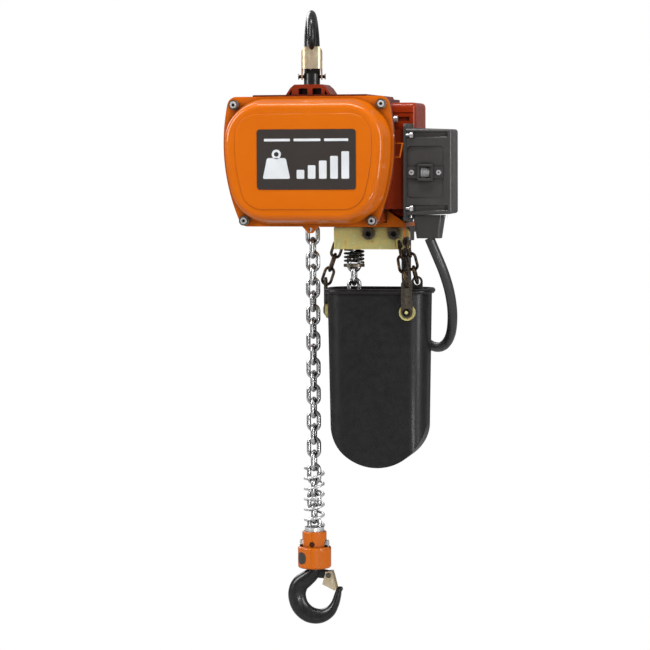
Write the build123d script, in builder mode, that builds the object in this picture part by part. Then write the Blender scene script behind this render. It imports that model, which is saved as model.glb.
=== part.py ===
"""Electric chain hoist, 0.5 t class: hook-suspended body, load chain, hook block and chain bucket.

Frame: millimetres, +Z up, origin at the bowl centre of the top hook. The big front cover faces -Y,
the motor lies along +Y and the control box sits on the +X side.
"""
from build123d import *
import math
import os

os.makedirs("parts", exist_ok=True)

# ---------------------------------------------------------------- driving dimensions
CHAIN_WIRE = 6.3                    # load chain 6.3 x 19.1
CHAIN_PITCH = 19.1
CHAIN_WIDTH = 21.0
LINK_PLAY = 0.15
SLACK_X = 60.0                      # distance between the load strand (X = 0) and the slack strand
TRAVEL_PITCHES = 3                  # chain travel that the joints cover, in links
TRAVEL = TRAVEL_PITCHES * CHAIN_PITCH

AXIS_X, AXIS_Z = SLACK_X / 2, -165.0    # motor and load sheave axis, parallel to Y
GEAR_CENTRE = 52.5
LAY_X = AXIS_X - GEAR_CENTRE            # layshaft axis

COVER_X = 27.5                      # centre of the front cover
COVER_TOP, COVER_BOTTOM = -83.0, -260.0
COVER_TOP_HALF, COVER_MID_HALF, COVER_BOTTOM_HALF = 110.0, 118.0, 93.0
COVER_MID = -150.0
FLANGE_Y = -150.0                   # joint face between the frame and the front cover
CROWN_Y = -190.0
FRAME_REAR_Y = 60.0
FLANK_X = 116.0
MOTOR_REAR_Y = 190.0
BODY_REAR_Y = 228.0
WALL = 5.0

BOX_X0, BOX_X1 = 150.0, 214.0       # control box, opening towards -X
BOX_Y0, BOX_Y1 = -85.0, -24.0
BOX_TOP, BOX_BOTTOM = -126.0, -247.0

TOP_BOWL_R = 19.0                   # top hook bowl
LOW_BOWL_R = 16.7                   # lower hook bowl
LOW_BOWL = (5.2, -798.5)
BLOCK_TOP, BLOCK_STEP, BLOCK_BOTTOM = -703.0, -725.0, -756.0
BLOCK_NECK_R, BLOCK_BODY_R = 17.5, 24.0

BUCKET_X = 97.0                     # chain bucket
BUCKET_TOP, BUCKET_BOTTOM = -352.0, -606.0
BUCKET_HALF_X, BUCKET_HALF_Y = 73.0, 38.0
BUCKET_WALL = 3.5
CABLE_D = 14.0


def front(y):
    """Sketch plane across Y: local x is X, local y is Z, and it faces -Y."""
    return Plane(origin=(0, y, 0), x_dir=(1, 0, 0), z_dir=(0, -1, 0))


def side(x):
    """Sketch plane across X: local x is Y, local y is Z, and it faces +X."""
    return Plane(origin=(x, 0, 0), x_dir=(0, 1, 0), z_dir=(1, 0, 0))


def save(part, name):
    """Label one finished piece and write its STEP file."""
    part.label = name
    export_step(part, f"parts/{name}.step")


def ring(y0, y1, outer, inner, x=AXIS_X, z=AXIS_Z):
    """A bush, race or disc on an axis parallel to Y, from y0 (front) to y1 (rear)."""
    with BuildPart() as piece:
        with BuildSketch(front(y1)):
            with Locations((x, z)):
                Circle(outer)
                if inner > 0:
                    Circle(inner, mode=Mode.SUBTRACT)
        extrude(amount=y1 - y0)
    return piece.part


def block(x0, x1, y0, y1, z0, z1, radius=0.0):
    """A box between two corners, with its vertical edges rounded."""
    with BuildPart() as piece:
        with BuildSketch(Plane.XY.offset(z0)):
            with Locations(((x0 + x1) / 2, (y0 + y1) / 2)):
                if radius > 0:
                    RectangleRounded(x1 - x0, y1 - y0, radius)
                else:
                    Rectangle(x1 - x0, y1 - y0)
        extrude(amount=z1 - z0)
    return piece.part


def group(solids):
    """Several separate solids as one part."""
    with BuildPart() as piece:
        for solid in solids:
            add(solid)
    return piece.part


def screw_at(plane, u, v, head_r, head_h, shank_r, shank_l, hex_r, washer_r=0.0):
    """A socket screw whose head stands on a plane, optionally on a washer, with its shank below it."""
    base = 1.6 if washer_r > 0 else 0.0
    with BuildPart() as piece:
        with BuildSketch(plane):
            with Locations((u, v)):
                Circle(max(head_r, washer_r))
        extrude(amount=max(base, 0.4))
        with BuildSketch(plane.offset(base)):
            with Locations((u, v)):
                Circle(head_r)
        extrude(amount=head_h)
        with BuildSketch(plane.offset(base + head_h)):
            with Locations((u, v)):
                RegularPolygon(hex_r, 6)
        extrude(amount=-0.6 * head_h, mode=Mode.SUBTRACT)
        with BuildSketch(plane):
            with Locations((u, v)):
                Circle(shank_r)
        extrude(amount=-shank_l)
    return piece.part


# ---------------------------------------------------------------- chain
def link(wire, pitch, width):
    """One round-wire link standing in the XZ plane, centred on the origin."""
    bend_r = (width - wire) / 2
    half = (pitch + LINK_PLAY + wire) / 2 - bend_r
    with BuildPart() as piece:
        with BuildLine(Plane.XZ):
            Line((bend_r, -half), (bend_r, half))
            ThreePointArc((bend_r, half), (0, half + bend_r), (-bend_r, half))
            Line((-bend_r, half), (-bend_r, -half))
            ThreePointArc((-bend_r, -half), (0, -half - bend_r), (bend_r, -half))
        with BuildSketch(Plane(origin=(bend_r, 0, 0), z_dir=(0, 0, 1))):
            Circle(wire / 2)
        sweep()
    return piece.part


def chain(master, x, y, z_first, count, pitch, first_turn=0):
    """A straight hanging strand, links turned by 90 degrees in turn, counted downwards."""
    return [
        Location((x, y, z_first - k * pitch), (0, 0, first_turn + 90 * (k % 2))) * master
        for k in range(count)
    ]


load_link = link(CHAIN_WIRE, CHAIN_PITCH, CHAIN_WIDTH)
LOAD_LINKS = 27
LOAD_FIRST = -219.0                 # centre of the topmost modelled link of the load strand
SLACK_FIRST = LOAD_FIRST - TRAVEL
SLACK_LINKS = 15
save(group(chain(load_link, 0, 0, LOAD_FIRST, LOAD_LINKS, CHAIN_PITCH, 90)), "load_chain")
save(group(chain(load_link, SLACK_X, 0, SLACK_FIRST, SLACK_LINKS, CHAIN_PITCH)), "slack_chain")


def coil_spring(x, y, z_low, height, mean_r, wire, turns):
    """A compression spring along Z with its ends left open."""
    with BuildPart() as piece:
        with BuildLine():
            path = Helix(pitch=height / turns, height=height, radius=mean_r, center=(x, y, z_low))
        with BuildSketch(Plane(origin=path @ 0, z_dir=path % 0)):
            Circle(wire / 2)
        sweep(is_frenet=True)
    return piece.part


SPRING_WIRE = 3.6
LOW_SPRING_TOP, LOW_SPRING_BOTTOM = -611.0, -697.0
save(coil_spring(0, 0, LOW_SPRING_BOTTOM + SPRING_WIRE / 2, LOW_SPRING_TOP - LOW_SPRING_BOTTOM - SPRING_WIRE,
                 13.4, SPRING_WIRE, 5.5), "load_spring")
save(coil_spring(SLACK_X, 0, -316.2, 18.4, 13.2, 3.2, 3.5), "slack_spring")


# ---------------------------------------------------------------- hooks
def swept_hook(stations, normal, to_point, to_dir):
    """Forged hook body: ellipses lofted along the hook's line.

    A station is (u, v, du, dv, half_normal, half_radial), in the hook's own plane.
    """
    with BuildPart() as piece:
        for u, v, du, dv, half_normal, half_radial in stations:
            with BuildSketch(Plane(origin=to_point(u, v), x_dir=normal, z_dir=to_dir(du, dv))):
                Ellipse(half_normal, half_radial)
        loft()
    return piece.part


def bowl_station(centre, angle, radius, half_normal, half_radial, turn):
    """A station on the bowl, at an angle about the bowl centre. turn is the sense of travel."""
    a = math.radians(angle)
    return (centre[0] + radius * math.cos(a), centre[1] + radius * math.sin(a),
            -turn * math.sin(a), turn * math.cos(a), half_normal, half_radial)


# Top hook: local u is Y, v is Z, the tip points towards -Y.
top_centre = (0.0, 0.0)
top_stations = [
    bowl_station(top_centre, 212, 25.5, 2.2, 2.6, -1),
    bowl_station(top_centre, 204, 25.6, 4.3, 5.2, -1),
    bowl_station(top_centre, 180, 26.8, 5.6, 7.8, -1),
    bowl_station(top_centre, 135, 29.0, 6.6, 10.2, -1),
    bowl_station(top_centre, 90, 30.3, 7.2, 11.6, -1),
    bowl_station(top_centre, 45, 31.0, 9.2, 12.2, -1),
    bowl_station(top_centre, 0, 31.0, 11.2, 12.2, -1),
    bowl_station(top_centre, -36, 31.0, 11.5, 12.0, -1),
    (10.5, -36.5, -0.75, -0.66, 11.5, 11.8),
    (0.0, -48.0, 0.0, -1.0, 11.5, 11.5),
]
hook_blank = swept_hook(top_stations, (1, 0, 0), lambda u, v: (0, u, v), lambda du, dv: (0, du, dv))
LUG_TOP = -63.5
SHANK_R = 10.0
NUT_TOP, NUT_BOTTOM = -97.0, -111.0
PIN_TOP = (-4.0, -52.0)             # top latch pin, local Y and Z
HOOK_TURN = 12.0                    # the hook hangs swivelled by this much about Z
with BuildPart() as top_hook:
    add(hook_blank)
    with BuildSketch(Plane.XY.offset(-48)):
        Circle(11.5)
    extrude(amount=LUG_TOP + 0.6 + 48)
    with BuildSketch(Plane.XY.offset(-48)):
        Circle(SHANK_R)
    extrude(amount=NUT_BOTTOM - 1 + 48)
    with BuildSketch(side(-12)):
        Circle(TOP_BOWL_R)
    extrude(amount=24, mode=Mode.SUBTRACT)
    with BuildSketch(side(-20)):
        with Locations(PIN_TOP):
            Circle(2.55)
    extrude(amount=40, mode=Mode.SUBTRACT)
save(top_hook.part.rotate(Axis.Z, HOOK_TURN), "top_hook")

with BuildPart() as top_latch_pin:
    with BuildSketch(side(-18)):
        with Locations(PIN_TOP):
            Circle(2.5)
    extrude(amount=36)
    for x, amount in ((-18, -1.6), (18, 1.6)):
        with BuildSketch(side(x)):
            with Locations(PIN_TOP):
                Circle(4)
        extrude(amount=amount)
save(top_latch_pin.part.rotate(Axis.Z, HOOK_TURN), "top_latch_pin")

LATCH_HALF = 15.0
LATCH_SHEET = 2.0
LATCH_TOP, LATCH_LOW = -10.0, -41.0
LATCH_FRONT = -18.0                 # local Y of the rolled shell's front
with BuildPart() as top_latch:
    # rolled shell that closes the throat, open at the back
    with BuildSketch(Plane.XY.offset(LATCH_LOW)):
        with Locations((0, LATCH_FRONT + 11)):
            RectangleRounded(2 * LATCH_HALF, 22, 8)
    extrude(amount=LATCH_TOP - LATCH_LOW)
    # ears down to the pin
    with BuildSketch(side(-LATCH_HALF)):
        with BuildLine():
            Polyline((-13, LATCH_LOW - 0.5), (-9.5, -56.5), (1.5, -56.5), (1.5, LATCH_LOW + 3),
                     (-6, LATCH_LOW + 11), (-13, LATCH_LOW + 11), close=True)
        make_face()
    extrude(amount=2 * LATCH_HALF)
    with BuildSketch(Plane.XY.offset(-58)):
        with Locations((0, LATCH_FRONT + LATCH_SHEET + 15)):
            RectangleRounded(2 * (LATCH_HALF - LATCH_SHEET), 30, 8 - LATCH_SHEET)
    extrude(amount=58 + LATCH_TOP, mode=Mode.SUBTRACT)
    # clear of whatever hangs in the bowl
    with BuildSketch(side(-LATCH_HALF)):
        Circle(TOP_BOWL_R + 1)
    extrude(amount=2 * LATCH_HALF, mode=Mode.SUBTRACT)
    with BuildSketch(side(-LATCH_HALF)):
        with Locations(PIN_TOP):
            Circle(2.55)
    extrude(amount=2 * LATCH_HALF, mode=Mode.SUBTRACT)
save(top_latch.part.rotate(Axis.Z, HOOK_TURN), "top_latch")

# Swivel nut and thrust bearing that hang the body on the hook shank.
with BuildPart() as hook_nut:
    with BuildSketch(Plane.XY.offset(NUT_BOTTOM)):
        RegularPolygon(17, 6)
        Circle(SHANK_R, mode=Mode.SUBTRACT)
    extrude(amount=NUT_TOP - NUT_BOTTOM)
save(hook_nut.part, "hook_nut")


# ---------------------------------------------------------------- frame and covers
def outline(y, inset, corner):
    """The front cover's barrel-sided outline on a plane across Y, drawn in by an inset."""
    with BuildSketch(front(y)) as face:
        with BuildLine():
            right_top = (COVER_X + COVER_TOP_HALF, COVER_TOP)
            right_low = (COVER_X + COVER_BOTTOM_HALF, COVER_BOTTOM)
            left_top = (COVER_X - COVER_TOP_HALF, COVER_TOP)
            left_low = (COVER_X - COVER_BOTTOM_HALF, COVER_BOTTOM)
            Line(left_top, right_top)
            ThreePointArc(right_top, (COVER_X + COVER_MID_HALF, COVER_MID), right_low)
            Line(right_low, left_low)
            ThreePointArc(left_low, (COVER_X - COVER_MID_HALF, COVER_MID), left_top)
        make_face()
        if inset > 0:
            offset(amount=-inset, kind=Kind.INTERSECTION)
        fillet(face.vertices(), corner)
    return face.sketch


SCREW_TOP = (COVER_X + 102.5, COVER_TOP - 11)
SCREW_LOW = (COVER_X + 89.0, COVER_BOTTOM + 8)
cover_screws_at = [
    (2 * COVER_X - SCREW_TOP[0], SCREW_TOP[1]), SCREW_TOP,
    (2 * COVER_X - SCREW_LOW[0], SCREW_LOW[1]), SCREW_LOW,
]
CORE_INSET = 2.0                    # the frame behind its flange, and its cavities, follow the same outline
ROOF_Z = COVER_TOP - CORE_INSET - WALL - 4
BULKHEAD_Y0, BULKHEAD_Y1 = -66.0, -56.0
REAR_WALL_Y = 42.0
BEARING_R = 24.0
LAY_BEARING_R = 13.0
LUG_HALF_Y = 26.0


def core(y_rear, y_front, inset, flank):
    """A length of the frame: the cover's outline cut off flat at the right flank."""
    with BuildPart() as piece:
        add(extrude(outline(y_rear, inset, 18), amount=y_rear - y_front))
        with BuildSketch(front(y_rear)):
            with Locations((flank + 50, AXIS_Z)):
                Rectangle(100, 300)
        extrude(amount=y_rear - y_front, mode=Mode.SUBTRACT)
    return piece.part


with BuildPart() as main_frame:
    add(extrude(outline(FLANGE_Y + 14, 1.2, 13), amount=14))
    add(core(FRAME_REAR_Y, FLANGE_Y + 10, CORE_INSET, FLANK_X))
    # top rib that carries the lug
    with BuildSketch(front(FRAME_REAR_Y)):
        with BuildLine():
            Polyline((-56, COVER_TOP - 6), (-52, COVER_TOP + 2.5), (106, COVER_TOP + 2.5),
                     (110, COVER_TOP - 6), close=True)
        make_face()
    extrude(amount=FRAME_REAR_Y - FLANGE_Y - 8)
    # suspension lug on the top, straddling the hook shank
    with BuildSketch(front(LUG_HALF_Y)):
        with BuildLine():
            Polyline((-36.5, COVER_TOP - 1), (-26, LUG_TOP - 5), (-20, LUG_TOP), (20, LUG_TOP),
                     (26, LUG_TOP - 5), (36.5, COVER_TOP - 1), close=True)
        make_face()
    extrude(amount=2 * LUG_HALF_Y)
    # mounting pedestal for the control box
    with BuildSketch(Plane.XY.offset(-238)):
        with Locations(((FLANK_X + 145) / 2, -54)):
            Rectangle(147 - FLANK_X + 2, 48)
    extrude(amount=238 - 128)
    # gear chamber, open to the front, and chain chamber between the bulkheads
    add(core(BULKHEAD_Y0, FLANGE_Y - 1, CORE_INSET + WALL + 4, FLANK_X - WALL), mode=Mode.SUBTRACT)
    add(core(REAR_WALL_Y, BULKHEAD_Y1, CORE_INSET + WALL + 4, FLANK_X - WALL), mode=Mode.SUBTRACT)
    # bearing bores
    with BuildSketch(front(FRAME_REAR_Y)):
        with Locations((AXIS_X, AXIS_Z)):
            Circle(BEARING_R)
    extrude(amount=FRAME_REAR_Y - BULKHEAD_Y0, mode=Mode.SUBTRACT)
    with BuildSketch(front(BULKHEAD_Y1)):
        with Locations((LAY_X, AXIS_Z)):
            Circle(LAY_BEARING_R)
    extrude(amount=BULKHEAD_Y1 - BULKHEAD_Y0, mode=Mode.SUBTRACT)
    # hook shank bore, seat and the strands' openings
    with BuildSketch(Plane.XY.offset(ROOF_Z - 1)):
        Circle(SHANK_R + 0.05)
    extrude(amount=40, mode=Mode.SUBTRACT)
    with BuildSketch(Plane.XY.offset(LUG_TOP)):
        Circle(11.9)
    extrude(amount=-0.4, mode=Mode.SUBTRACT)
    with BuildSketch(Plane.XY.offset(COVER_BOTTOM)):
        with Locations((0, 0), (SLACK_X, 0)):
            Rectangle(28, 28)
    extrude(amount=CORE_INSET + WALL + 8, mode=Mode.SUBTRACT)
    # ribbed pockets in both faces of the lug
    for face_y, depth in ((-LUG_HALF_Y, 13), (LUG_HALF_Y, -13)):
        with BuildSketch(Plane(origin=(0, face_y, 0), x_dir=(1, 0, 0), z_dir=(0, 1, 0))):
            with Locations((-7.5, 75.5), (12.5, 75.5)):
                RectangleRounded(13, 13, 1.5)
            for sense in (-1, 1):
                with BuildLine():
                    Polyline((sense * 24.0, 82.5), (sense * 24.0, 70.5), (sense * 30.5, 82.5), close=True)
                make_face()
        extrude(amount=depth, mode=Mode.SUBTRACT)
    # tapped corners of the flange
    with BuildSketch(front(FLANGE_Y)):
        with Locations(*cover_screws_at):
            Circle(3)
    extrude(amount=-12, mode=Mode.SUBTRACT)
save(main_frame.part, "main_frame")

GASKET = 0.8
FLANGE_T = 6.0
COVER_WALL = 3.2


def crown(inset, y_base, y_top, corner_base, corner_top, draft):
    """Drafted crown of the cover between two outlines."""
    with BuildPart() as piece:
        add(outline(y_base, inset, corner_base))
        add(outline(y_top, inset + draft, corner_top))
        loft()
    return piece.part


CROWN_INSET = 1.8
CROWN_DRAFT = 8.0
PANEL_INSET, PANEL_RISE = 24.0, 0.8  # the slightly raised middle panel of the crown
crown_outer = crown(CROWN_INSET, FLANGE_Y - GASKET, CROWN_Y, 57, 52, CROWN_DRAFT)
crown_inner = crown(CROWN_INSET + COVER_WALL, FLANGE_Y - GASKET, CROWN_Y + COVER_WALL, 54, 49,
                    CROWN_DRAFT - 0.8)
with BuildPart() as front_cover:
    add(crown_outer)
    top_edges = front_cover.faces().sort_by(Axis.Y)[0].edges()
    fillet(top_edges, 8)
    add(extrude(outline(CROWN_Y, PANEL_INSET, 30), amount=PANEL_RISE))
    panel_edges = front_cover.faces().sort_by(Axis.Y)[0].edges()
    fillet(panel_edges, PANEL_RISE * 0.9)
    add(extrude(outline(FLANGE_Y - GASKET, 0, 13), amount=FLANGE_T))
    add(crown_inner, mode=Mode.SUBTRACT)
    with BuildSketch(front(FLANGE_Y - GASKET)):
        with Locations(*cover_screws_at):
            Circle(3.3)
    extrude(amount=FLANGE_T, mode=Mode.SUBTRACT)
    # eyelet tab under the flange
    with BuildSketch(front(FLANGE_Y - GASKET)):
        with BuildLine():
            Polyline((16, COVER_BOTTOM + 3), (44, COVER_BOTTOM + 3), (33, COVER_BOTTOM - 9),
                     (27, COVER_BOTTOM - 9), close=True)
        make_face()
        with Locations((AXIS_X, COVER_BOTTOM - 4.2)):
            Circle(2.9, mode=Mode.SUBTRACT)
    extrude(amount=4)
save(front_cover.part, "front_cover")

with BuildPart() as cover_gasket:
    add(extrude(outline(FLANGE_Y, 1.5, 12), amount=GASKET))
    add(extrude(outline(FLANGE_Y, 9, 40), amount=GASKET), mode=Mode.SUBTRACT)
    with BuildSketch(front(FLANGE_Y)):
        with Locations(*cover_screws_at):
            Circle(3.3)
    extrude(amount=GASKET, mode=Mode.SUBTRACT)
save(cover_gasket.part, "cover_gasket")

cover_face = front(FLANGE_Y - GASKET - FLANGE_T)
cover_screws = [screw_at(cover_face, u, v, 4.6, 5.2, 2.9, 16, 2.5, 6.4) for u, v in cover_screws_at]

LABEL_HALF_X, LABEL_HALF_Z = 68.0, 40.5
LABEL_AT = (COVER_X + 5, -168.5)
with BuildPart() as rating_plate:
    with BuildSketch(front(CROWN_Y - PANEL_RISE)):
        with Locations(LABEL_AT):
            RectangleRounded(2 * LABEL_HALF_X, 2 * LABEL_HALF_Z, 4)
    extrude(amount=0.6)
save(rating_plate.part, "rating_plate")

# motor housing behind the frame, with cooling fins, and the end cover over the brake
MOTOR_R = 66.0
FIN_R = 73.0
with BuildPart() as motor_housing:
    with BuildSketch(front(MOTOR_REAR_Y)):
        with Locations((AXIS_X, AXIS_Z)):
            Circle(MOTOR_R)
    extrude(amount=MOTOR_REAR_Y - FRAME_REAR_Y)
    with BuildSketch(front(MOTOR_REAR_Y - 12)):
        with Locations((AXIS_X, AXIS_Z)):
            with PolarLocations(0, 28):
                with Locations((FIN_R - 6, 0)):
                    Rectangle(12, 3)
    extrude(amount=MOTOR_REAR_Y - FRAME_REAR_Y - 24)
    with BuildSketch(front(FRAME_REAR_Y + 12)):
        with Locations((AXIS_X, AXIS_Z)):
            Circle(FIN_R)
    extrude(amount=12)
    with BuildSketch(front(MOTOR_REAR_Y)):
        with Locations((AXIS_X, AXIS_Z)):
            Circle(FIN_R)
    extrude(amount=12)
    with BuildSketch(front(MOTOR_REAR_Y)):
        with Locations((AXIS_X, AXIS_Z)):
            Circle(MOTOR_R - WALL)
    extrude(amount=MOTOR_REAR_Y - FRAME_REAR_Y, mode=Mode.SUBTRACT)
    # bell that carries the rear bearing and the brake coil
    with BuildSketch(front(152)):
        with Locations((AXIS_X, AXIS_Z)):
            Circle(MOTOR_R - WALL + 0.5)
            Circle(16, mode=Mode.SUBTRACT)
    extrude(amount=8)
save(motor_housing.part, "motor_housing")

with BuildPart() as end_cover:
    with BuildSketch(front(BODY_REAR_Y)):
        with Locations((AXIS_X, AXIS_Z)):
            Circle(FIN_R - 1)
    extrude(amount=BODY_REAR_Y - MOTOR_REAR_Y)
    fillet(end_cover.faces().sort_by(Axis.Y)[-1].edges(), 10)
    with BuildSketch(front(BODY_REAR_Y - 4)):
        with Locations((AXIS_X, AXIS_Z)):
            Circle(FIN_R - 5)
    extrude(amount=BODY_REAR_Y - MOTOR_REAR_Y - 4, mode=Mode.SUBTRACT)
    with BuildSketch(front(BODY_REAR_Y)):
        with Locations((AXIS_X, AXIS_Z)):
            with GridLocations(14, 10, 6, 6):
                SlotOverall(10, 4)
    extrude(amount=5, mode=Mode.SUBTRACT)
save(end_cover.part, "end_cover")

rear_face = Plane(origin=(0, BODY_REAR_Y, 0), x_dir=(-1, 0, 0), z_dir=(0, 1, 0))
END_SCREW_R = 56.0
end_screws = [
    screw_at(rear_face, -AXIS_X + END_SCREW_R * math.cos(a), AXIS_Z + END_SCREW_R * math.sin(a),
             4.2, 4, 2.4, 3.9, 2)
    for a in (math.radians(45 + 90 * k) for k in range(4))
]
save(group(cover_screws + end_screws), "cover_screws")

# side cover over the wiring, a cap held by four long screws that lie in grooves
CAP_X1 = 153.0
CAP_Y0, CAP_Y1 = -22.0, 68.0
CAP_Z0, CAP_Z1 = -252.0, -90.0
CAP_SCREW_Z = (CAP_Z1 - 23, CAP_Z0 + 23)
with BuildPart() as side_cover:
    with BuildSketch(side(FLANK_X)):
        with Locations(((CAP_Y0 + CAP_Y1) / 2, (CAP_Z0 + CAP_Z1) / 2)):
            RectangleRounded(CAP_Y1 - CAP_Y0, CAP_Z1 - CAP_Z0, 7)
    extrude(amount=CAP_X1 - FLANK_X)
    fillet(side_cover.faces().sort_by(Axis.X)[-1].edges(), 6)
    with BuildSketch(side(FLANK_X)):
        with Locations(((CAP_Y0 + CAP_Y1) / 2, (CAP_Z0 + CAP_Z1) / 2)):
            RectangleRounded(CAP_Y1 - CAP_Y0 - 7, CAP_Z1 - CAP_Z0 - 7, 4)
    extrude(amount=CAP_X1 - FLANK_X - 3.5, mode=Mode.SUBTRACT)
    for z in CAP_SCREW_Z:
        with BuildSketch(side(FLANK_X + 5)):
            with Locations((CAP_Y0, z)):
                Circle(3.2)
        extrude(amount=CAP_X1 - FLANK_X - 14, mode=Mode.SUBTRACT)
    with BuildSketch(front(CAP_Y0)):
        with Locations((FLANK_X + 20, CAP_Z1 - 14.5)):
            Rectangle(40, 1.6)
    extrude(amount=-1, mode=Mode.SUBTRACT)
save(side_cover.part, "side_cover")

with BuildPart() as side_cover_screws:
    for z in CAP_SCREW_Z:
        with BuildSketch(side(FLANK_X)):
            with Locations((CAP_Y0 - 3.4, z)):
                Circle(2.9)
        extrude(amount=7)
        with BuildSketch(side(FLANK_X + 7)):
            with Locations((CAP_Y0 - 3.4, z)):
                Circle(4.6)
        extrude(amount=5)

# ---------------------------------------------------------------- control box
PLATE_X0 = 147.0
BOX_MID_Y = (BOX_Y0 + BOX_Y1) / 2
BOX_MID_Z = (BOX_TOP + BOX_BOTTOM) / 2
BOX_DEPTH_Y = BOX_Y1 - BOX_Y0
BOX_HEIGHT = BOX_TOP - BOX_BOTTOM
with BuildPart() as control_box_plate:
    with BuildSketch(side(PLATE_X0)):
        with Locations((BOX_MID_Y, BOX_MID_Z - 1)):
            RectangleRounded(BOX_DEPTH_Y + 4, BOX_HEIGHT + 14, 5)
    extrude(amount=BOX_X0 - PLATE_X0)
save(control_box_plate.part, "control_box_plate")

BOX_WALL = 3.0
GROOVE_R = 5.0
BOX_SCREW_Z = (BOX_TOP - 10, BOX_BOTTOM + 10)
PANEL_X0, PANEL_X1 = BOX_X0 + 1.5, BOX_X0 + 52
PANEL_Z0, PANEL_Z1 = -223.0, -151.0
with BuildPart() as control_box:
    with BuildSketch(side(BOX_X0)):
        with Locations((BOX_MID_Y, BOX_MID_Z)):
            RectangleRounded(BOX_DEPTH_Y, BOX_HEIGHT, 5)
    extrude(amount=BOX_X1 - BOX_X0, taper=2)
    fillet(control_box.faces().sort_by(Axis.X)[-1].edges(), 4)
    with BuildSketch(side(BOX_X0)):
        with Locations((BOX_MID_Y, BOX_MID_Z)):
            RectangleRounded(BOX_DEPTH_Y - 12, BOX_HEIGHT - 8, 4)
    extrude(amount=BOX_X1 - BOX_X0 - BOX_WALL, taper=2, mode=Mode.SUBTRACT)
    for z in BOX_SCREW_Z:
        with BuildSketch(side(BOX_X0 + 6)):
            with Locations((BOX_Y0, z)):
                Circle(GROOVE_R)
        extrude(amount=BOX_X1 - BOX_X0 - 12, mode=Mode.SUBTRACT)
    with BuildSketch(front(BOX_Y0)):
        with Locations(((PANEL_X0 + PANEL_X1) / 2, (PANEL_Z0 + PANEL_Z1) / 2)):
            RectangleRounded(PANEL_X1 - PANEL_X0, PANEL_Z1 - PANEL_Z0, 5)
    extrude(amount=-2.4, mode=Mode.SUBTRACT)
save(control_box.part, "control_box")

box_screws = []
for z in BOX_SCREW_Z:
    with BuildPart() as box_screw:
        with BuildSketch(side(BOX_X0 + 6)):
            with Locations((BOX_Y0 + 0.6, z)):
                Circle(4.2)
        extrude(amount=4)
        with BuildSketch(side(BOX_X0)):
            with Locations((BOX_Y0 + 0.6, z)):
                Circle(2.0)
        extrude(amount=6)
    box_screws.append(box_screw.part)
for x in (BOX_X0 + 4, BOX_X1 - 11):
    with BuildPart() as low_screw:
        with BuildSketch(Plane.XY.offset(BOX_BOTTOM - 3)):
            with Locations((x, BOX_Y0 + 14)):
                Circle(2.8)
        extrude(amount=3.0)
    box_screws.append(low_screw.part)

PANEL_Y = BOX_Y0 + 2.4
COUNTER_X, COUNTER_Z = BOX_X0 + 27, -187.5
with BuildPart() as counter_strap:
    with BuildSketch(front(PANEL_Y)):
        with Locations((COUNTER_X, COUNTER_Z)):
            RectangleRounded(50, 16, 2)
            Rectangle(20.4, 14.4, mode=Mode.SUBTRACT)
    extrude(amount=2.2)
save(counter_strap.part, "counter_strap")

with BuildPart() as counter_window:
    with BuildSketch(front(PANEL_Y)):
        with Locations((COUNTER_X, COUNTER_Z)):
            RectangleRounded(20, 14, 1.5)
    extrude(amount=6)
    fillet(counter_window.faces().sort_by(Axis.Y)[0].edges(), 1.2)
save(counter_window.part, "counter_window")

strap_face = front(PANEL_Y - 2.2)
strap_screws = [screw_at(strap_face, COUNTER_X + dx, COUNTER_Z, 3.6, 1.8, 1.2, 2.0, 1.4) for dx in (-19, 19)]
save(group(box_screws + strap_screws), "control_box_screws")

GLAND_X, GLAND_Y = 178.0, -56.0
GLAND_Z0 = -279.0
with BuildPart() as cable_gland:
    with BuildSketch(Plane.XY.offset(BOX_BOTTOM)):
        with Locations((GLAND_X, GLAND_Y)):
            RectangleRounded(42, 30, 4)
    with BuildSketch(Plane.XY.offset(GLAND_Z0)):
        with Locations((GLAND_X, GLAND_Y)):
            RectangleRounded(33, 24, 4)
    loft()
save(cable_gland.part, "cable_gland")

REAR_GLAND_X, REAR_GLAND_Y, REAR_GLAND_Z = 126.0, 54.0, -286.0
with BuildPart() as rear_gland:
    with BuildSketch(Plane.XY.offset(REAR_GLAND_Z)):
        with Locations((REAR_GLAND_X, REAR_GLAND_Y)):
            Circle(9.8)
    extrude(amount=CAP_Z0 - REAR_GLAND_Z)
    with BuildSketch(Plane.XY.offset(REAR_GLAND_Z)):
        with Locations((REAR_GLAND_X, REAR_GLAND_Y)):
            Circle(11.5)
    extrude(amount=12)
    with BuildSketch(Plane.XY.offset(REAR_GLAND_Z + 12)):
        with Locations((REAR_GLAND_X, REAR_GLAND_Y)):
            RegularPolygon(13.5, 6)
    extrude(amount=14)
save(rear_gland.part, "rear_gland")

# Power lead from the control box to the wiring cover: one hanging loop.
cable_route = [
    (178.0, -56.0, GLAND_Z0),
    (187.0, -54.0, -301.0),
    (197.0, -47.0, -327.0),
    (204.0, -34.0, -358.0),
    (204.5, -14.0, -391.0),
    (197.0, 12.0, -423.0),
    (179.0, 40.0, -441.0),
    (154.0, 63.0, -437.0),
    (134.0, 76.0, -411.0),
    (125.0, 77.0, -374.0),
    (123.0, 69.0, -340.0),
    (125.0, 59.0, -311.0),
    (REAR_GLAND_X, REAR_GLAND_Y, REAR_GLAND_Z),
]


def route_radii(route):
    """The arc at each corner: 0.45 of the shorter run over the tangent of half the turn."""
    points = [Vector(*p) for p in route]
    radii = []
    for before, here, after in zip(points, points[1:], points[2:]):
        run_in, run_out = here - before, after - here
        turn = math.radians(run_in.get_angle(run_out))
        radii.append(0.45 * min(run_in.length, run_out.length) / math.tan(turn / 2))
    return radii


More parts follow.
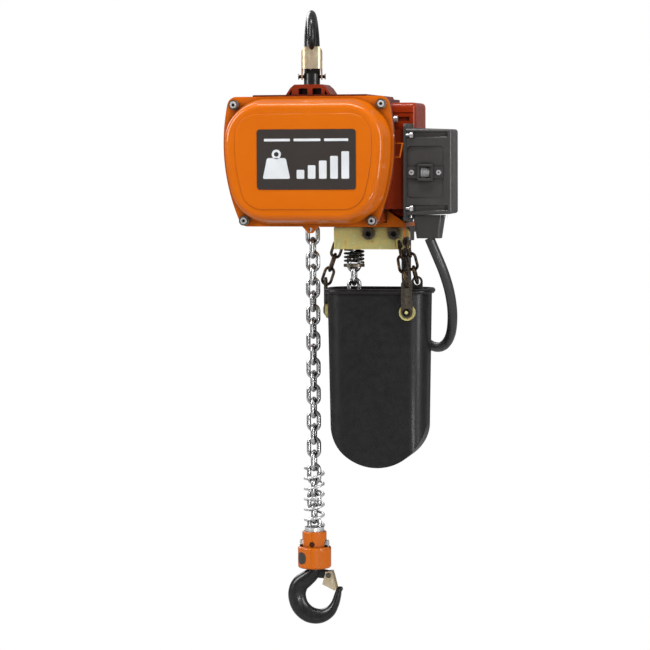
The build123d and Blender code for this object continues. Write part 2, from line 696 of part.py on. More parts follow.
cable_radii = route_radii(cable_route)
print("cable radii", [round(r, 1) for r in cable_radii])
with BuildPart() as power_cable:
    with BuildLine() as cable_line:
        FilletPolyline(*cable_route, radius=cable_radii)
    cable_wire = cable_line.wire()
    with BuildSketch(Plane(origin=cable_wire @ 0, z_dir=cable_wire % 0)):
        Circle(CABLE_D / 2)
    sweep()
cable_length = cable_wire.length
print("cable length", round(cable_length, 1), "volume ratio",
      round(power_cable.part.volume / (cable_length * math.pi * CABLE_D ** 2 / 4), 4))
save(power_cable.part, "power_cable")

# wire clip that stands on the back of the frame's front flange
CLIP_SEAT_Y = FLANGE_Y + 14
CLIP_WIDTH = 6.0
CLIP_X0, CLIP_Z0 = 139.0, -147.0
with BuildPart() as cable_clip:
    with BuildLine(front(CLIP_SEAT_Y + CLIP_WIDTH / 2)):
        Polyline((CLIP_X0, CLIP_Z0), (154.2, -147.5), (150.2, -166), (CLIP_X0, -166.5))
    with BuildSketch(Plane(origin=(CLIP_X0, CLIP_SEAT_Y + CLIP_WIDTH / 2, CLIP_Z0), x_dir=(0, 1, 0),
                           z_dir=(1, 0, 0))):
        Rectangle(CLIP_WIDTH, 1.2)
    sweep(transition=Transition.RIGHT)
    add(block(CLIP_X0 - 10, CLIP_X0 + 1, CLIP_SEAT_Y, CLIP_SEAT_Y + 1.4, -170.5, -143))
save(cable_clip.part, "cable_clip")
flank_face = side(FLANK_X)
flank_spots = [(-104, -198), (-92, -218), (-96, -236), (-112, -178)]
flank_screws = [screw_at(flank_face, y, z, 3.4, 3.0, 2.0, 5, 1.6) for y, z in flank_spots]
save(group(flank_screws + side_cover_screws.part.solids()), "side_screws")

# ---------------------------------------------------------------- bucket bracket and carrier
CARRIER_TOP, CARRIER_BOTTOM = -258.0, -264.0
BRACKET_X0, BRACKET_X1 = 36.5, 136.0
BRACKET_Z0, BRACKET_Z1 = -296.0, -265.0
PLATE_Y = 27.0
SHEET = 3.0
BRACKET_BOLTS_X = (88.0, 124.0)
BRACKET_BOLT_Z = -274.0
HANGER_Z = -287.0
with BuildPart() as bracket_carrier:
    with BuildSketch(Plane.XY.offset(CARRIER_BOTTOM)):
        with Locations((81.5, -8)):
            Rectangle(123, 78)
        with Locations((SLACK_X, 0)):
            Circle(14.5, mode=Mode.SUBTRACT)
    extrude(amount=CARRIER_TOP - CARRIER_BOTTOM)
    with BuildSketch(front(-43)):
        with BuildLine():
            Polyline((FLANK_X + 0.2, CARRIER_TOP - 1), (143, CARRIER_TOP - 1), (FLANK_X + 0.2, -240),
                     close=True)
        make_face()
    extrude(amount=4)
    with BuildSketch(front(PLATE_Y - 0.3)):
        with Locations(*[(x, -272) for x in BRACKET_BOLTS_X]):
            Rectangle(13, 17.2)
        with Locations(*[(x, BRACKET_BOLT_Z) for x in BRACKET_BOLTS_X]):
            Circle(5.2, mode=Mode.SUBTRACT)
    extrude(amount=2 * (PLATE_Y - 0.3))
save(bracket_carrier.part, "bracket_carrier")

with BuildPart() as bucket_bracket:
    with BuildSketch(Plane.XY.offset(BRACKET_Z0)):
        with BuildLine():
            Polyline((BRACKET_X1, -PLATE_Y - SHEET), (BRACKET_X0, -PLATE_Y - SHEET),
                     (BRACKET_X0, PLATE_Y + SHEET),
                     (BRACKET_X1, PLATE_Y + SHEET), (BRACKET_X1, PLATE_Y), (BRACKET_X0 + SHEET, PLATE_Y),
                     (BRACKET_X0 + SHEET, -PLATE_Y), (BRACKET_X1, -PLATE_Y), close=True)
        make_face()
    extrude(amount=BRACKET_Z1 - BRACKET_Z0)
    right_top = bucket_bracket.edges().filter_by(Axis.Y).group_by(Axis.X)[-1].group_by(Axis.Z)[-1]
    rear_corner = right_top.sort_by(Axis.Y)[-1]
    fillet(rear_corner, 13)
    outer_bends = bucket_bracket.edges().filter_by(Axis.Z).group_by(Axis.X)[0]
    fillet(outer_bends, 2.4)
    with BuildSketch(front(PLATE_Y + SHEET)):
        with Locations(*[(x, BRACKET_BOLT_Z) for x in BRACKET_BOLTS_X]):
            Circle(5.2)
        with Locations((131, HANGER_Z)):
            SlotOverall(15, 12, rotation=90)
    extrude(amount=2 * (PLATE_Y + SHEET), mode=Mode.SUBTRACT)
    with BuildSketch(side(BRACKET_X0 - 1)):
        with Locations((0, HANGER_Z)):
            SlotOverall(15, 12, rotation=90)
    extrude(amount=SHEET + 2, mode=Mode.SUBTRACT)
save(bucket_bracket.part, "bucket_bracket")

bracket_bolts = []
for x in BRACKET_BOLTS_X:
    bolt_face = front(-PLATE_Y - SHEET)
    bracket_bolts.append(screw_at(bolt_face, x, BRACKET_BOLT_Z, 8.2, 9, 5.0, 2 * (PLATE_Y + SHEET) + 8, 4.1))
with BuildPart() as bracket_nuts:
    with BuildSketch(front(PLATE_Y + SHEET + 8)):
        with Locations(*[(x, BRACKET_BOLT_Z) for x in BRACKET_BOLTS_X]):
            RegularPolygon(9.2, 6)
            Circle(5.05, mode=Mode.SUBTRACT)
    extrude(amount=8)
save(group(bracket_bolts + bracket_nuts.part.solids()), "bracket_bolts")

# guide tube with its collar that backs the slack-side limit spring
with BuildPart() as slack_guide_tube:
    with BuildSketch(Plane.XY.offset(-296)):
        with Locations((SLACK_X, 0)):
            Circle(13.8)
            Circle(12.2, mode=Mode.SUBTRACT)
    extrude(amount=296 - 264.2)
with BuildPart() as slack_spring_plate:
    with BuildSketch(Plane.XY.offset(-322)):
        with Locations((SLACK_X, 0)):
            Circle(15)
            Circle(12, mode=Mode.SUBTRACT)
    extrude(amount=4)
save(group([slack_guide_tube.part, slack_spring_plate.part]), "slack_spring_seats")

# ---------------------------------------------------------------- chain bucket
RIM_H, RIM_OUT = 7.0, 3.0
BUCKET_BEND = 64.0
STRAP_HOLE_Z = -345.0
EYE_Z = -384.0
STRAP_X = 143.5


def bucket_solid(inset, top, bottom):
    """Bucket body: rounded plan, slightly drafted, with a half-round bottom seen from the front."""
    half_x, half_y = BUCKET_HALF_X - inset, BUCKET_HALF_Y - inset
    with BuildPart() as piece:
        with BuildSketch(Plane.XY.offset(top)):
            with Locations((BUCKET_X, 0)):
                RectangleRounded(2 * half_x, 2 * half_y, 26 - inset)
        extrude(amount=bottom - top, taper=1.0)
        with BuildSketch(front(half_y + 1)):
            with BuildLine():
                Line((BUCKET_X - half_x - 1, top), (BUCKET_X + half_x + 1, top))
                Line((BUCKET_X + half_x + 1, top), (BUCKET_X + half_x - 3, bottom + BUCKET_BEND))
                ThreePointArc((BUCKET_X + half_x - 3, bottom + BUCKET_BEND), (BUCKET_X, bottom),
                              (BUCKET_X - half_x + 3, bottom + BUCKET_BEND))
                Line((BUCKET_X - half_x + 3, bottom + BUCKET_BEND), (BUCKET_X - half_x - 1, top))
            make_face()
        extrude(amount=2 * half_y + 2, mode=Mode.INTERSECT)
    return piece.part


with BuildPart() as chain_bucket:
    add(bucket_solid(0, BUCKET_TOP, BUCKET_BOTTOM))
    with BuildSketch(Plane.XY.offset(BUCKET_TOP - RIM_H)):
        with Locations((BUCKET_X, 0)):
            RectangleRounded(2 * (BUCKET_HALF_X + RIM_OUT), 2 * (BUCKET_HALF_Y + RIM_OUT), 26 + RIM_OUT)
    extrude(amount=RIM_H)
    add(bucket_solid(BUCKET_WALL, BUCKET_TOP, BUCKET_BOTTOM + BUCKET_WALL), mode=Mode.SUBTRACT)
    with BuildSketch(front(60)):
        with Locations((STRAP_X, EYE_Z)):
            Circle(4.0)
    extrude(amount=120, mode=Mode.SUBTRACT)
    with BuildSketch(side(BUCKET_X - BUCKET_HALF_X - 5)):
        with Locations((0, EYE_Z)):
            Circle(4.0)
    extrude(amount=20, mode=Mode.SUBTRACT)
save(chain_bucket.part, "chain_bucket")

STRAP_Y = BUCKET_HALF_Y + RIM_OUT + 1.2
STRAP_SHEET = 2.4
LEFT_STRAP_X = BUCKET_X - BUCKET_HALF_X - RIM_OUT - 1.2
straps = []
for sense in (-1, 1):
    with BuildPart() as strap:
        with BuildSketch(front(sense * STRAP_Y if sense < 0 else STRAP_Y + STRAP_SHEET)):
            with Locations((STRAP_X, (STRAP_HOLE_Z + EYE_Z) / 2)):
                SlotCenterToCenter(STRAP_HOLE_Z - EYE_Z, 16, rotation=90)
            with Locations((STRAP_X, STRAP_HOLE_Z)):
                Circle(5, mode=Mode.SUBTRACT)
            with Locations((STRAP_X, EYE_Z)):
                Circle(4.05, mode=Mode.SUBTRACT)
        extrude(amount=STRAP_SHEET)
    straps.append(strap.part)
with BuildPart() as left_strap:
    with BuildSketch(side(LEFT_STRAP_X - STRAP_SHEET)):
        with Locations((0, (STRAP_HOLE_Z + EYE_Z) / 2)):
            SlotCenterToCenter(STRAP_HOLE_Z - EYE_Z, 16, rotation=90)
        with Locations((0, STRAP_HOLE_Z)):
            Circle(5, mode=Mode.SUBTRACT)
        with Locations((0, EYE_Z)):
            Circle(4.05, mode=Mode.SUBTRACT)
    extrude(amount=STRAP_SHEET)
straps.append(left_strap.part)
save(group(straps), "bucket_straps")

washers, rivets = [], []
for sense in (-1, 1):
    near = sense * (BUCKET_HALF_Y - 0.3)
    far = sense * STRAP_Y
    low, high = min(near, far), max(near, far)
    washers.append(ring(low, high, 11.5, 4.05, STRAP_X, EYE_Z))
    tip = sense * (STRAP_Y + STRAP_SHEET + 2.0)
    root_end = sense * (BUCKET_HALF_Y - 8)
    rivets.append(ring(min(tip, root_end), max(tip, root_end), 4.0, 0, STRAP_X, EYE_Z))
    cap = sense * (STRAP_Y + STRAP_SHEET)
    rivets.append(ring(min(tip, cap), max(tip, cap), 5.2, 3.9, STRAP_X, EYE_Z))
with BuildPart() as left_washer:
    with BuildSketch(side(LEFT_STRAP_X)):
        with Locations((0, EYE_Z)):
            Circle(11.5)
            Circle(4.05, mode=Mode.SUBTRACT)
    extrude(amount=BUCKET_X - BUCKET_HALF_X + 0.3 - LEFT_STRAP_X)
washers.append(left_washer.part)
with BuildPart() as left_rivet:
    with BuildSketch(side(LEFT_STRAP_X - STRAP_SHEET - 2)):
        with Locations((0, EYE_Z)):
            Circle(4)
    extrude(amount=16)
    with BuildSketch(side(LEFT_STRAP_X - STRAP_SHEET - 2)):
        with Locations((0, EYE_Z)):
            Circle(5.2)
    extrude(amount=2)
rivets.append(left_rivet.part)
save(group(washers + rivets), "bucket_rivets")

# bucket chains: three short strands between the bracket and the straps
HANG_LINKS = 3
HANG_WIRE = 4.2
hang_ends = [
    ((131.0, -PLATE_Y - SHEET / 2, HANGER_Z), (STRAP_X, -STRAP_Y - STRAP_SHEET / 2, STRAP_HOLE_Z), (0, 1, 0)),
    ((131.0, PLATE_Y + SHEET / 2, HANGER_Z), (STRAP_X, STRAP_Y + STRAP_SHEET / 2, STRAP_HOLE_Z), (0, 1, 0)),
    ((BRACKET_X0 + 2.1, 0.0, HANGER_Z), (LEFT_STRAP_X - STRAP_SHEET / 2, 0.0, STRAP_HOLE_Z), (1, 0, 0)),
]
hang_pitch = max((Vector(*b) - Vector(*a)).length for a, b, _ in hang_ends) / HANG_LINKS
hang_link = link(HANG_WIRE, hang_pitch, 17.0)
hang_links = []
for start, end, through in hang_ends:
    top_point, low_point = Vector(*start), Vector(*end)
    run = low_point - top_point
    for k in range(HANG_LINKS):
        centre = top_point + run * ((k + 0.5) / HANG_LINKS)
        wide = Vector(*through) if k % 2 == 0 else Vector(*through).cross(run)
        upright = run * -1
        across = wide - upright * (wide.dot(upright) / upright.dot(upright))
        hang_links.append(Plane(origin=centre, x_dir=across, z_dir=upright).location * hang_link)
save(group(hang_links), "bucket_chains")

# ---------------------------------------------------------------- hook block
CHAIN_BOLT_Z = LOAD_FIRST - (LOAD_LINKS - 1) * CHAIN_PITCH - (CHAIN_PITCH + LINK_PLAY) / 2 + 3.45
POCKET_FLOOR = -734.0
COLLAR_TOP, COLLAR_FLOOR = -737.0, -749.5
HOOK_SHANK_R = 9.5
with BuildPart() as block_whole:
    with BuildSketch(Plane.XY.offset(BLOCK_BOTTOM)):
        Circle(BLOCK_BODY_R)
    extrude(amount=BLOCK_STEP - BLOCK_BOTTOM)
    fillet(block_whole.edges().filter_by(GeomType.CIRCLE), 3)
    with BuildSketch(Plane.XY.offset(BLOCK_STEP - 4)):
        Circle(BLOCK_NECK_R)
    extrude(amount=BLOCK_TOP - BLOCK_STEP + 4)
    fillet(block_whole.faces().sort_by(Axis.Z)[-1].edges(), 2)
    with BuildSketch(Plane.XY.offset(POCKET_FLOOR)):
        Circle(11.6)
    extrude(amount=BLOCK_TOP - POCKET_FLOOR, mode=Mode.SUBTRACT)
    with BuildSketch(Plane.XY.offset(COLLAR_FLOOR)):
        Circle(17.5)
    extrude(amount=COLLAR_TOP - COLLAR_FLOOR + 0.5, mode=Mode.SUBTRACT)
    with BuildSketch(Plane.XY.offset(BLOCK_BOTTOM)):
        Circle(HOOK_SHANK_R + 0.05)
    extrude(amount=COLLAR_FLOOR - BLOCK_BOTTOM, mode=Mode.SUBTRACT)
    with BuildSketch(side(-30)):
        with Locations((0, CHAIN_BOLT_Z)):
            Circle(3.45)
    extrude(amount=60, mode=Mode.SUBTRACT)
    # flats for the bolt head and its nut
    for x0 in (-BLOCK_BODY_R, 15.2):
        with BuildSketch(side(x0)):
            with Locations((0, CHAIN_BOLT_Z)):
                Circle(7.2)
        extrude(amount=BLOCK_BODY_R - 15.2, mode=Mode.SUBTRACT)
    # dowel hole on the front seam
    with BuildSketch(front(-BLOCK_NECK_R + 4)):
        with Locations((0, -720.5)):
            Circle(4)
    extrude(amount=6, mode=Mode.SUBTRACT)
SEAM = 0.1
for name, x in (("block_left_half", -30 - SEAM), ("block_right_half", 30 + SEAM)):
    with BuildPart() as half:
        add(block_whole.part)
        with BuildSketch(Plane.XY.offset(BLOCK_BOTTOM - 5)):
            with Locations((x, 0)):
                Rectangle(60, 60)
        extrude(amount=BLOCK_TOP - BLOCK_BOTTOM + 10, mode=Mode.INTERSECT)
    save(half.part, name)

with BuildPart() as chain_bolt:
    with BuildSketch(side(-15.1)):
        with Locations((0, CHAIN_BOLT_Z)):
            Circle(3.4)
    extrude(amount=30.2)
    with BuildSketch(side(15.2)):
        with Locations((0, CHAIN_BOLT_Z)):
            RegularPolygon(6.5, 6)
    extrude(amount=5.5)
    with BuildSketch(side(-15.2)):
        with Locations((0, CHAIN_BOLT_Z)):
            RegularPolygon(6.5, 6)
    extrude(amount=-5.5)
save(chain_bolt.part, "chain_bolt")

with BuildPart() as spring_washer:
    with BuildSketch(Plane.XY.offset(BLOCK_TOP)):
        Circle(14)
        Circle(11.2, mode=Mode.SUBTRACT)
    extrude(amount=LOW_SPRING_BOTTOM - BLOCK_TOP)
save(spring_washer.part, "spring_washer")

with BuildPart() as block_thrust_bearing:
    with BuildSketch(Plane.XY.offset(COLLAR_FLOOR)):
        Circle(16.5)
        Circle(10.4, mode=Mode.SUBTRACT)
    extrude(amount=4)
save(block_thrust_bearing.part, "block_thrust_bearing")

# Lower hook: local u is X, v is Z, the tip points up on the +X side.
LOW_INNER = LOW_BOWL_R - 1.0        # the forging's own inner radius, machined out to the bowl
# angle about the bowl, outer radius, half thickness
low_section = [(0, 32.0, 6.0), (-30, 31.8, 7.4), (-60, 34.5, 8.6), (-90, 38.4, 9.4), (-120, 41.0, 9.8),
               (-150, 43.2, 10.0), (-180, 44.4, 10.0), (-208, 42.6, 10.0)]
low_stations = [
    (39.8, -783.2, -0.45, -0.89, 1.6, 2.0),
    (37.4, -787.0, -0.6, -0.8, 3.2, 4.4),
    (33.2, -792.2, -0.5, -0.87, 4.6, 6.6),
]
for angle, outer, half in low_section:
    middle, half_radial = (outer + LOW_INNER) / 2, (outer - LOW_INNER) / 2
    low_stations.append(bowl_station(LOW_BOWL, angle, middle, half, half_radial, -1))
low_stations += [(-7.0, -769.5, 0.72, 0.69, 9.8, 11.0), (0.0, -757.0, 0.0, 1.0, 9.5, 9.5)]
low_blank = swept_hook(low_stations, (0, 1, 0), lambda u, v: (u, 0, v), lambda du, dv: (du, 0, dv))
LOW_PIN = (22.0, -766.0)
with BuildPart() as lower_hook:
    add(low_blank)
    # ear that carries the latch pin
    with BuildSketch(front(4)):
        with BuildLine():
            Polyline((0, -757.5), (20, -760), (26.5, -763.5), (26, -769.5), (19, -771.5), (10, -768.5),
                     (0, -772), close=True)
        make_face()
    extrude(amount=8)
    with BuildSketch(Plane.XY.offset(-757)):
        Circle(HOOK_SHANK_R)
    extrude(amount=757 + COLLAR_TOP)
    with BuildSketch(Plane.XY.offset(COLLAR_FLOOR + 4.4)):
        Circle(15.5)
    extrude(amount=COLLAR_TOP - COLLAR_FLOOR - 4.4)
    with BuildSketch(front(20)):
        with Locations(LOW_PIN):
            Circle(2.55)
    extrude(amount=40, mode=Mode.SUBTRACT)
    with BuildSketch(front(20)):
        with Locations(LOW_BOWL):
            Circle(LOW_BOWL_R)
    extrude(amount=40, mode=Mode.SUBTRACT)
save(lower_hook.part, "lower_hook")

LOW_LATCH_HALF = 7.2
with BuildPart() as lower_latch:
    with BuildSketch(front(LOW_LATCH_HALF)):
        with BuildLine():
            Polyline((17.5, -761), (26.5, -760), (28.5, -766), (33.2, -785), (30.5, -788), (12.5, -779.5),
                     close=True)
        make_face()
    extrude(amount=2 * LOW_LATCH_HALF)
    with BuildSketch(front(LOW_LATCH_HALF - 1.8)):
        with BuildLine():
            Polyline((5, -750), (38, -750), (38, -792), (24.5, -792), (24.5, -783), (16, -779), (5, -779),
                     close=True)
        make_face()
    extrude(amount=2 * (LOW_LATCH_HALF - 1.8), mode=Mode.SUBTRACT)
    with BuildSketch(front(20)):
        with Locations(LOW_BOWL):
            Circle(LOW_BOWL_R + 0.6)
        with Locations(LOW_PIN):
            Circle(2.55)
    extrude(amount=40, mode=Mode.SUBTRACT)
save(lower_latch.part, "lower_latch")

with BuildPart() as lower_latch_pin:
    with BuildSketch(front(8.8)):
        with Locations(LOW_PIN):
            Circle(2.5)
    extrude(amount=17.6)
    for y in (9.0, -7.6):
        with BuildSketch(front(y)):
            with Locations(LOW_PIN):
                Circle(3.6)
        extrude(amount=1.4)
save(lower_latch_pin.part, "lower_latch_pin")

# ---------------------------------------------------------------- drive train
PRESSURE = math.radians(25)
STAGE_1 = (1.25, 12, 72)            # module, pinion teeth, wheel teeth: motor shaft to layshaft
STAGE_2 = (1.75, 12, 48)            # layshaft to load sheave
BACKLASH = 0.05                     # share of the pitch taken off each tooth


def involute_point(base_r, r, start_angle, sense):
    """A point of the flank at radius r."""
    roll = math.sqrt(max((r / base_r) ** 2 - 1, 0))
    angle = start_angle + sense * (roll - math.atan(roll))
    return (r * math.cos(angle), r * math.sin(angle))


def gear(module, teeth, y0, y1, centre_x, bore, first_angle):
    """Spur gear with involute flanks; one tooth is centred at first_angle (degrees from +X)."""
    pitch_r = module * teeth / 2
    base_r = pitch_r * math.cos(PRESSURE)
    tip_r = pitch_r + 0.85 * module
    root_r = pitch_r - 1.2 * module
    low_r = max(base_r, root_r)
    inv = math.tan(PRESSURE) - PRESSURE
    half_tooth = math.pi / teeth * (0.5 - BACKLASH) + inv
    with BuildPart() as piece:
        with BuildSketch(front(y1)):
            with Locations((centre_x, AXIS_Z)):
                Circle(root_r)
        extrude(amount=y1 - y0)
        with BuildSketch(Plane(origin=(centre_x, y1, AXIS_Z), x_dir=(1, 0, 0), z_dir=(0, -1, 0))):
            for k in range(teeth):
                mid = math.radians(first_angle) + 2 * math.pi * k / teeth
                left = [involute_point(base_r, r, mid + half_tooth, -1)
                        for r in (low_r, (low_r + tip_r) / 2, tip_r)]
                right = [involute_point(base_r, r, mid - half_tooth, 1)
                         for r in (low_r, (low_r + tip_r) / 2, tip_r)]
                foot = 0.97 * root_r / low_r
                with BuildLine():
                    Line((left[0][0] * foot, left[0][1] * foot), left[0])
                    ThreePointArc(*left)
                    Line(left[2], right[2])
                    ThreePointArc(*right)
                    Line(right[0], (right[0][0] * foot, right[0][1] * foot))
                    Line((right[0][0] * foot, right[0][1] * foot), (left[0][0] * foot, left[0][1] * foot))
                make_face()
        extrude(amount=y1 - y0)
        if bore > 0:
            with BuildSketch(front(y1)):
                with Locations((centre_x, AXIS_Z)):
                    Circle(bore)
            extrude(amount=y1 - y0, mode=Mode.SUBTRACT)
    return piece.part


SHEAVE_R = 35.0
SHEAVE_HALF = 14.0
HOLLOW_R = 14.0
MOTOR_SHAFT_R = 6.0
with BuildPart() as load_sheave:
    add(ring(-SHEAVE_HALF, SHEAVE_HALF, SHEAVE_R, 8))
    add(ring(-86, 53, HOLLOW_R, 8))
    add(ring(-4.2, 4.2, SHEAVE_R + 1, SHEAVE_R - 14), mode=Mode.SUBTRACT)
    with BuildSketch(Plane(origin=(AXIS_X, 11.2, AXIS_Z), x_dir=(1, 0, 0), z_dir=(0, -1, 0))):
        with PolarLocations(SHEAVE_R - 4.6 + 5, 5, start_angle=18):
            Rectangle(15, 33)
    extrude(amount=22.4, mode=Mode.SUBTRACT)
save(load_sheave.part, "load_sheave")
save(gear(STAGE_2[0], STAGE_2[2], -86, -72, AXIS_X, HOLLOW_R, 180 + 180 / STAGE_2[2]), "load_gear")

with BuildPart() as layshaft:
    add(gear(STAGE_2[0], STAGE_2[1], -88, -70, LAY_X, 0, 0))
    add(ring(-122, -57, 7, 0, LAY_X))
save(layshaft.part, "layshaft")
save(gear(STAGE_1[0], STAGE_1[2], -106, -96, LAY_X, 7, 180 / STAGE_1[2]), "layshaft_gear")

with BuildPart() as motor_shaft:
    add(gear(STAGE_1[0], STAGE_1[1], -108, -94, AXIS_X, 0, 180))
    add(ring(-122, 214, MOTOR_SHAFT_R, 0))
save(motor_shaft.part, "motor_shaft")

with BuildPart() as gear_plate:
    with BuildSketch(front(-114)):
        with Locations(((AXIS_X + LAY_X) / 2, AXIS_Z)):
            RectangleRounded(100, 62, 12)
        with Locations((AXIS_X, AXIS_Z), (LAY_X, AXIS_Z)):
            Circle(LAY_BEARING_R, mode=Mode.SUBTRACT)
    extrude(amount=8)
    with BuildSketch(front(BULKHEAD_Y0)):
        with Locations((AXIS_X + 60, AXIS_Z), (LAY_X, AXIS_Z + 60), (LAY_X, AXIS_Z - 60)):
            Circle(5)
    extrude(amount=BULKHEAD_Y0 + 122)
    with BuildSketch(front(-114)):
        with Locations((LAY_X, AXIS_Z)):
            Rectangle(10, 128)
            Circle(LAY_BEARING_R, mode=Mode.SUBTRACT)
        with Locations((AXIS_X + 40, AXIS_Z)):
            Rectangle(48, 10)
    extrude(amount=8)
save(gear_plate.part, "gear_plate")

FIT = 0.02
bearings = [
    ring(-66, -56, BEARING_R - FIT, HOLLOW_R + FIT), ring(42, 52, BEARING_R - FIT, HOLLOW_R + FIT),
    ring(-66, -57, LAY_BEARING_R - FIT, 7 + FIT, LAY_X),
    ring(-122, -114, LAY_BEARING_R - FIT, 7 + FIT, LAY_X),
    ring(-122, -114, LAY_BEARING_R - FIT, MOTOR_SHAFT_R + FIT), ring(144, 152, 16 - FIT, MOTOR_SHAFT_R + FIT),
]
save(group(bearings), "ball_bearings")

save(ring(82, 130, 36, MOTOR_SHAFT_R), "motor_rotor")
with BuildPart() as motor_stator:
    add(ring(82, 130, MOTOR_R - WALL, 36.5))
    add(ring(70, 82, 56, 42))
    add(ring(130, 141, 56, 42))
save(motor_stator.part, "motor_stator")

BRAKE_GAP = 0.8
save(ring(152, 170, 46, 17), "brake_coil")
save(ring(170 + BRAKE_GAP, 176, 48, 10), "brake_armature")
save(ring(176.3, 182, 46, MOTOR_SHAFT_R), "brake_disc")
with BuildPart() as brake_plate:
    add(ring(182.3, 188, 52, 10))
    with BuildSketch(front(188)):
        with Locations((AXIS_X, AXIS_Z)):
            with PolarLocations(50.5, 3):
                Circle(1.8)
    extrude(amount=36)
save(brake_plate.part, "brake_plate")
with BuildPart() as cooling_fan:
    add(ring(193, 206, 14, MOTOR_SHAFT_R))
    with BuildSketch(front(206)):
        with Locations((AXIS_X, AXIS_Z)):
            with PolarLocations(33, 8):
                Rectangle(40, 2.4)
    extrude(amount=12)
    add(ring(192, 194, 54, MOTOR_SHAFT_R))
save(cooling_fan.part, "cooling_fan")

# chain guide under the sheave with a cross-shaped passage for each strand
GUIDE_TOP, GUIDE_BOTTOM = -203.0, COVER_BOTTOM + CORE_INSET
GUIDE_FLOOR = COVER_BOTTOM + CORE_INSET + WALL + 4
with BuildPart() as chain_guide:
    for x in (0, SLACK_X):
        add(block(x - 13.5, x + 13.5, -13.5, 13.5, GUIDE_BOTTOM, GUIDE_FLOOR + 1))
    add(block(-16, 76, -20, 20, GUIDE_FLOOR, GUIDE_TOP))
    with BuildSketch(Plane.XY.offset(GUIDE_BOTTOM - 1)):
        with Locations((0, 0), (SLACK_X, 0)):
            Rectangle(CHAIN_WIDTH + 2.4, CHAIN_WIRE + 1.8)
            Rectangle(CHAIN_WIRE + 1.8, CHAIN_WIDTH + 2.4)
    extrude(amount=GUIDE_TOP - GUIDE_BOTTOM + 2, mode=Mode.SUBTRACT)
save(chain_guide.part, "chain_guide")

# electrical parts stand on the control box's mounting plate
save(block(BOX_X0, BOX_X0 + 46, -72, -36, -176, -138, 2), "contactor")
save(block(BOX_X0, BOX_X0 + 50, -74, -34, -236, -196, 2), "transformer")
with BuildPart() as hook_thrust_bearing:
    with BuildSketch(Plane.XY.offset(NUT_TOP + 0.3)):
        Circle(17)
        Circle(SHANK_R + 0.4, mode=Mode.SUBTRACT)
    extrude(amount=ROOF_Z - NUT_TOP - 0.3)
save(hook_thrust_bearing.part, "hook_thrust_bearing")
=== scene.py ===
"""Looks of an electric chain hoist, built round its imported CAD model.

Everything is in metres in the CAD frame: the origin is the bowl of the top hook, +Z is up, -Y is the gear
cover at the front and +X is the control box side. Sizes come from the CAD nodes' boxes wherever they can.
"""
import math

import bmesh
import bpy
from mathutils import Matrix, Vector


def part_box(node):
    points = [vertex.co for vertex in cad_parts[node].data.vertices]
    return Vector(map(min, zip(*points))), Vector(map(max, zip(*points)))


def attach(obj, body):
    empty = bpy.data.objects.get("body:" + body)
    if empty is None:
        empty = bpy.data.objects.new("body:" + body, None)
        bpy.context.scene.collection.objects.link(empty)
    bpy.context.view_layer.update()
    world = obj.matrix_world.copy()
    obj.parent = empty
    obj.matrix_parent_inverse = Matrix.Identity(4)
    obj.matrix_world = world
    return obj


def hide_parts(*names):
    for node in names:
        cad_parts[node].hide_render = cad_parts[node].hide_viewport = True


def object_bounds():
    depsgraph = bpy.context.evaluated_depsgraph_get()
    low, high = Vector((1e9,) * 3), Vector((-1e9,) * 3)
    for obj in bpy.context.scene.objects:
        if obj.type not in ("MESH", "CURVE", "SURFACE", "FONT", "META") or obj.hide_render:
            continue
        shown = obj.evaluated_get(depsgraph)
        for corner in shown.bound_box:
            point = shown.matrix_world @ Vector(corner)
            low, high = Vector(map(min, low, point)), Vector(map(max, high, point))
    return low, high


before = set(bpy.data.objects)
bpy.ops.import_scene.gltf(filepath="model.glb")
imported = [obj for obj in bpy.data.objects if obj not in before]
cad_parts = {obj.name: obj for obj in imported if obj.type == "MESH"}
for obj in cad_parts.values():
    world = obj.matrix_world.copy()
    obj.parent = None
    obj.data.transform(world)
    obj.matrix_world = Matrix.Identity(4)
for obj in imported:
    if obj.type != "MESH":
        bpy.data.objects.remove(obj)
CAD_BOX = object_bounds()

MM = 0.001
FRONT_AZIMUTH = math.radians(11.9)
CAMERA_RISE = math.radians(4.1)
CAMERA_ROLL = math.radians(-0.3)
CAMERA_DISTANCE = 3.5
CAMERA_LENS = 135.5
CAMERA_AIM = Vector((0.0171, 0, -0.4057))
FLOOR_DROP = 0.22
FLOOR_RADIUS = 45


# ---------------------------------------------------------------- materials

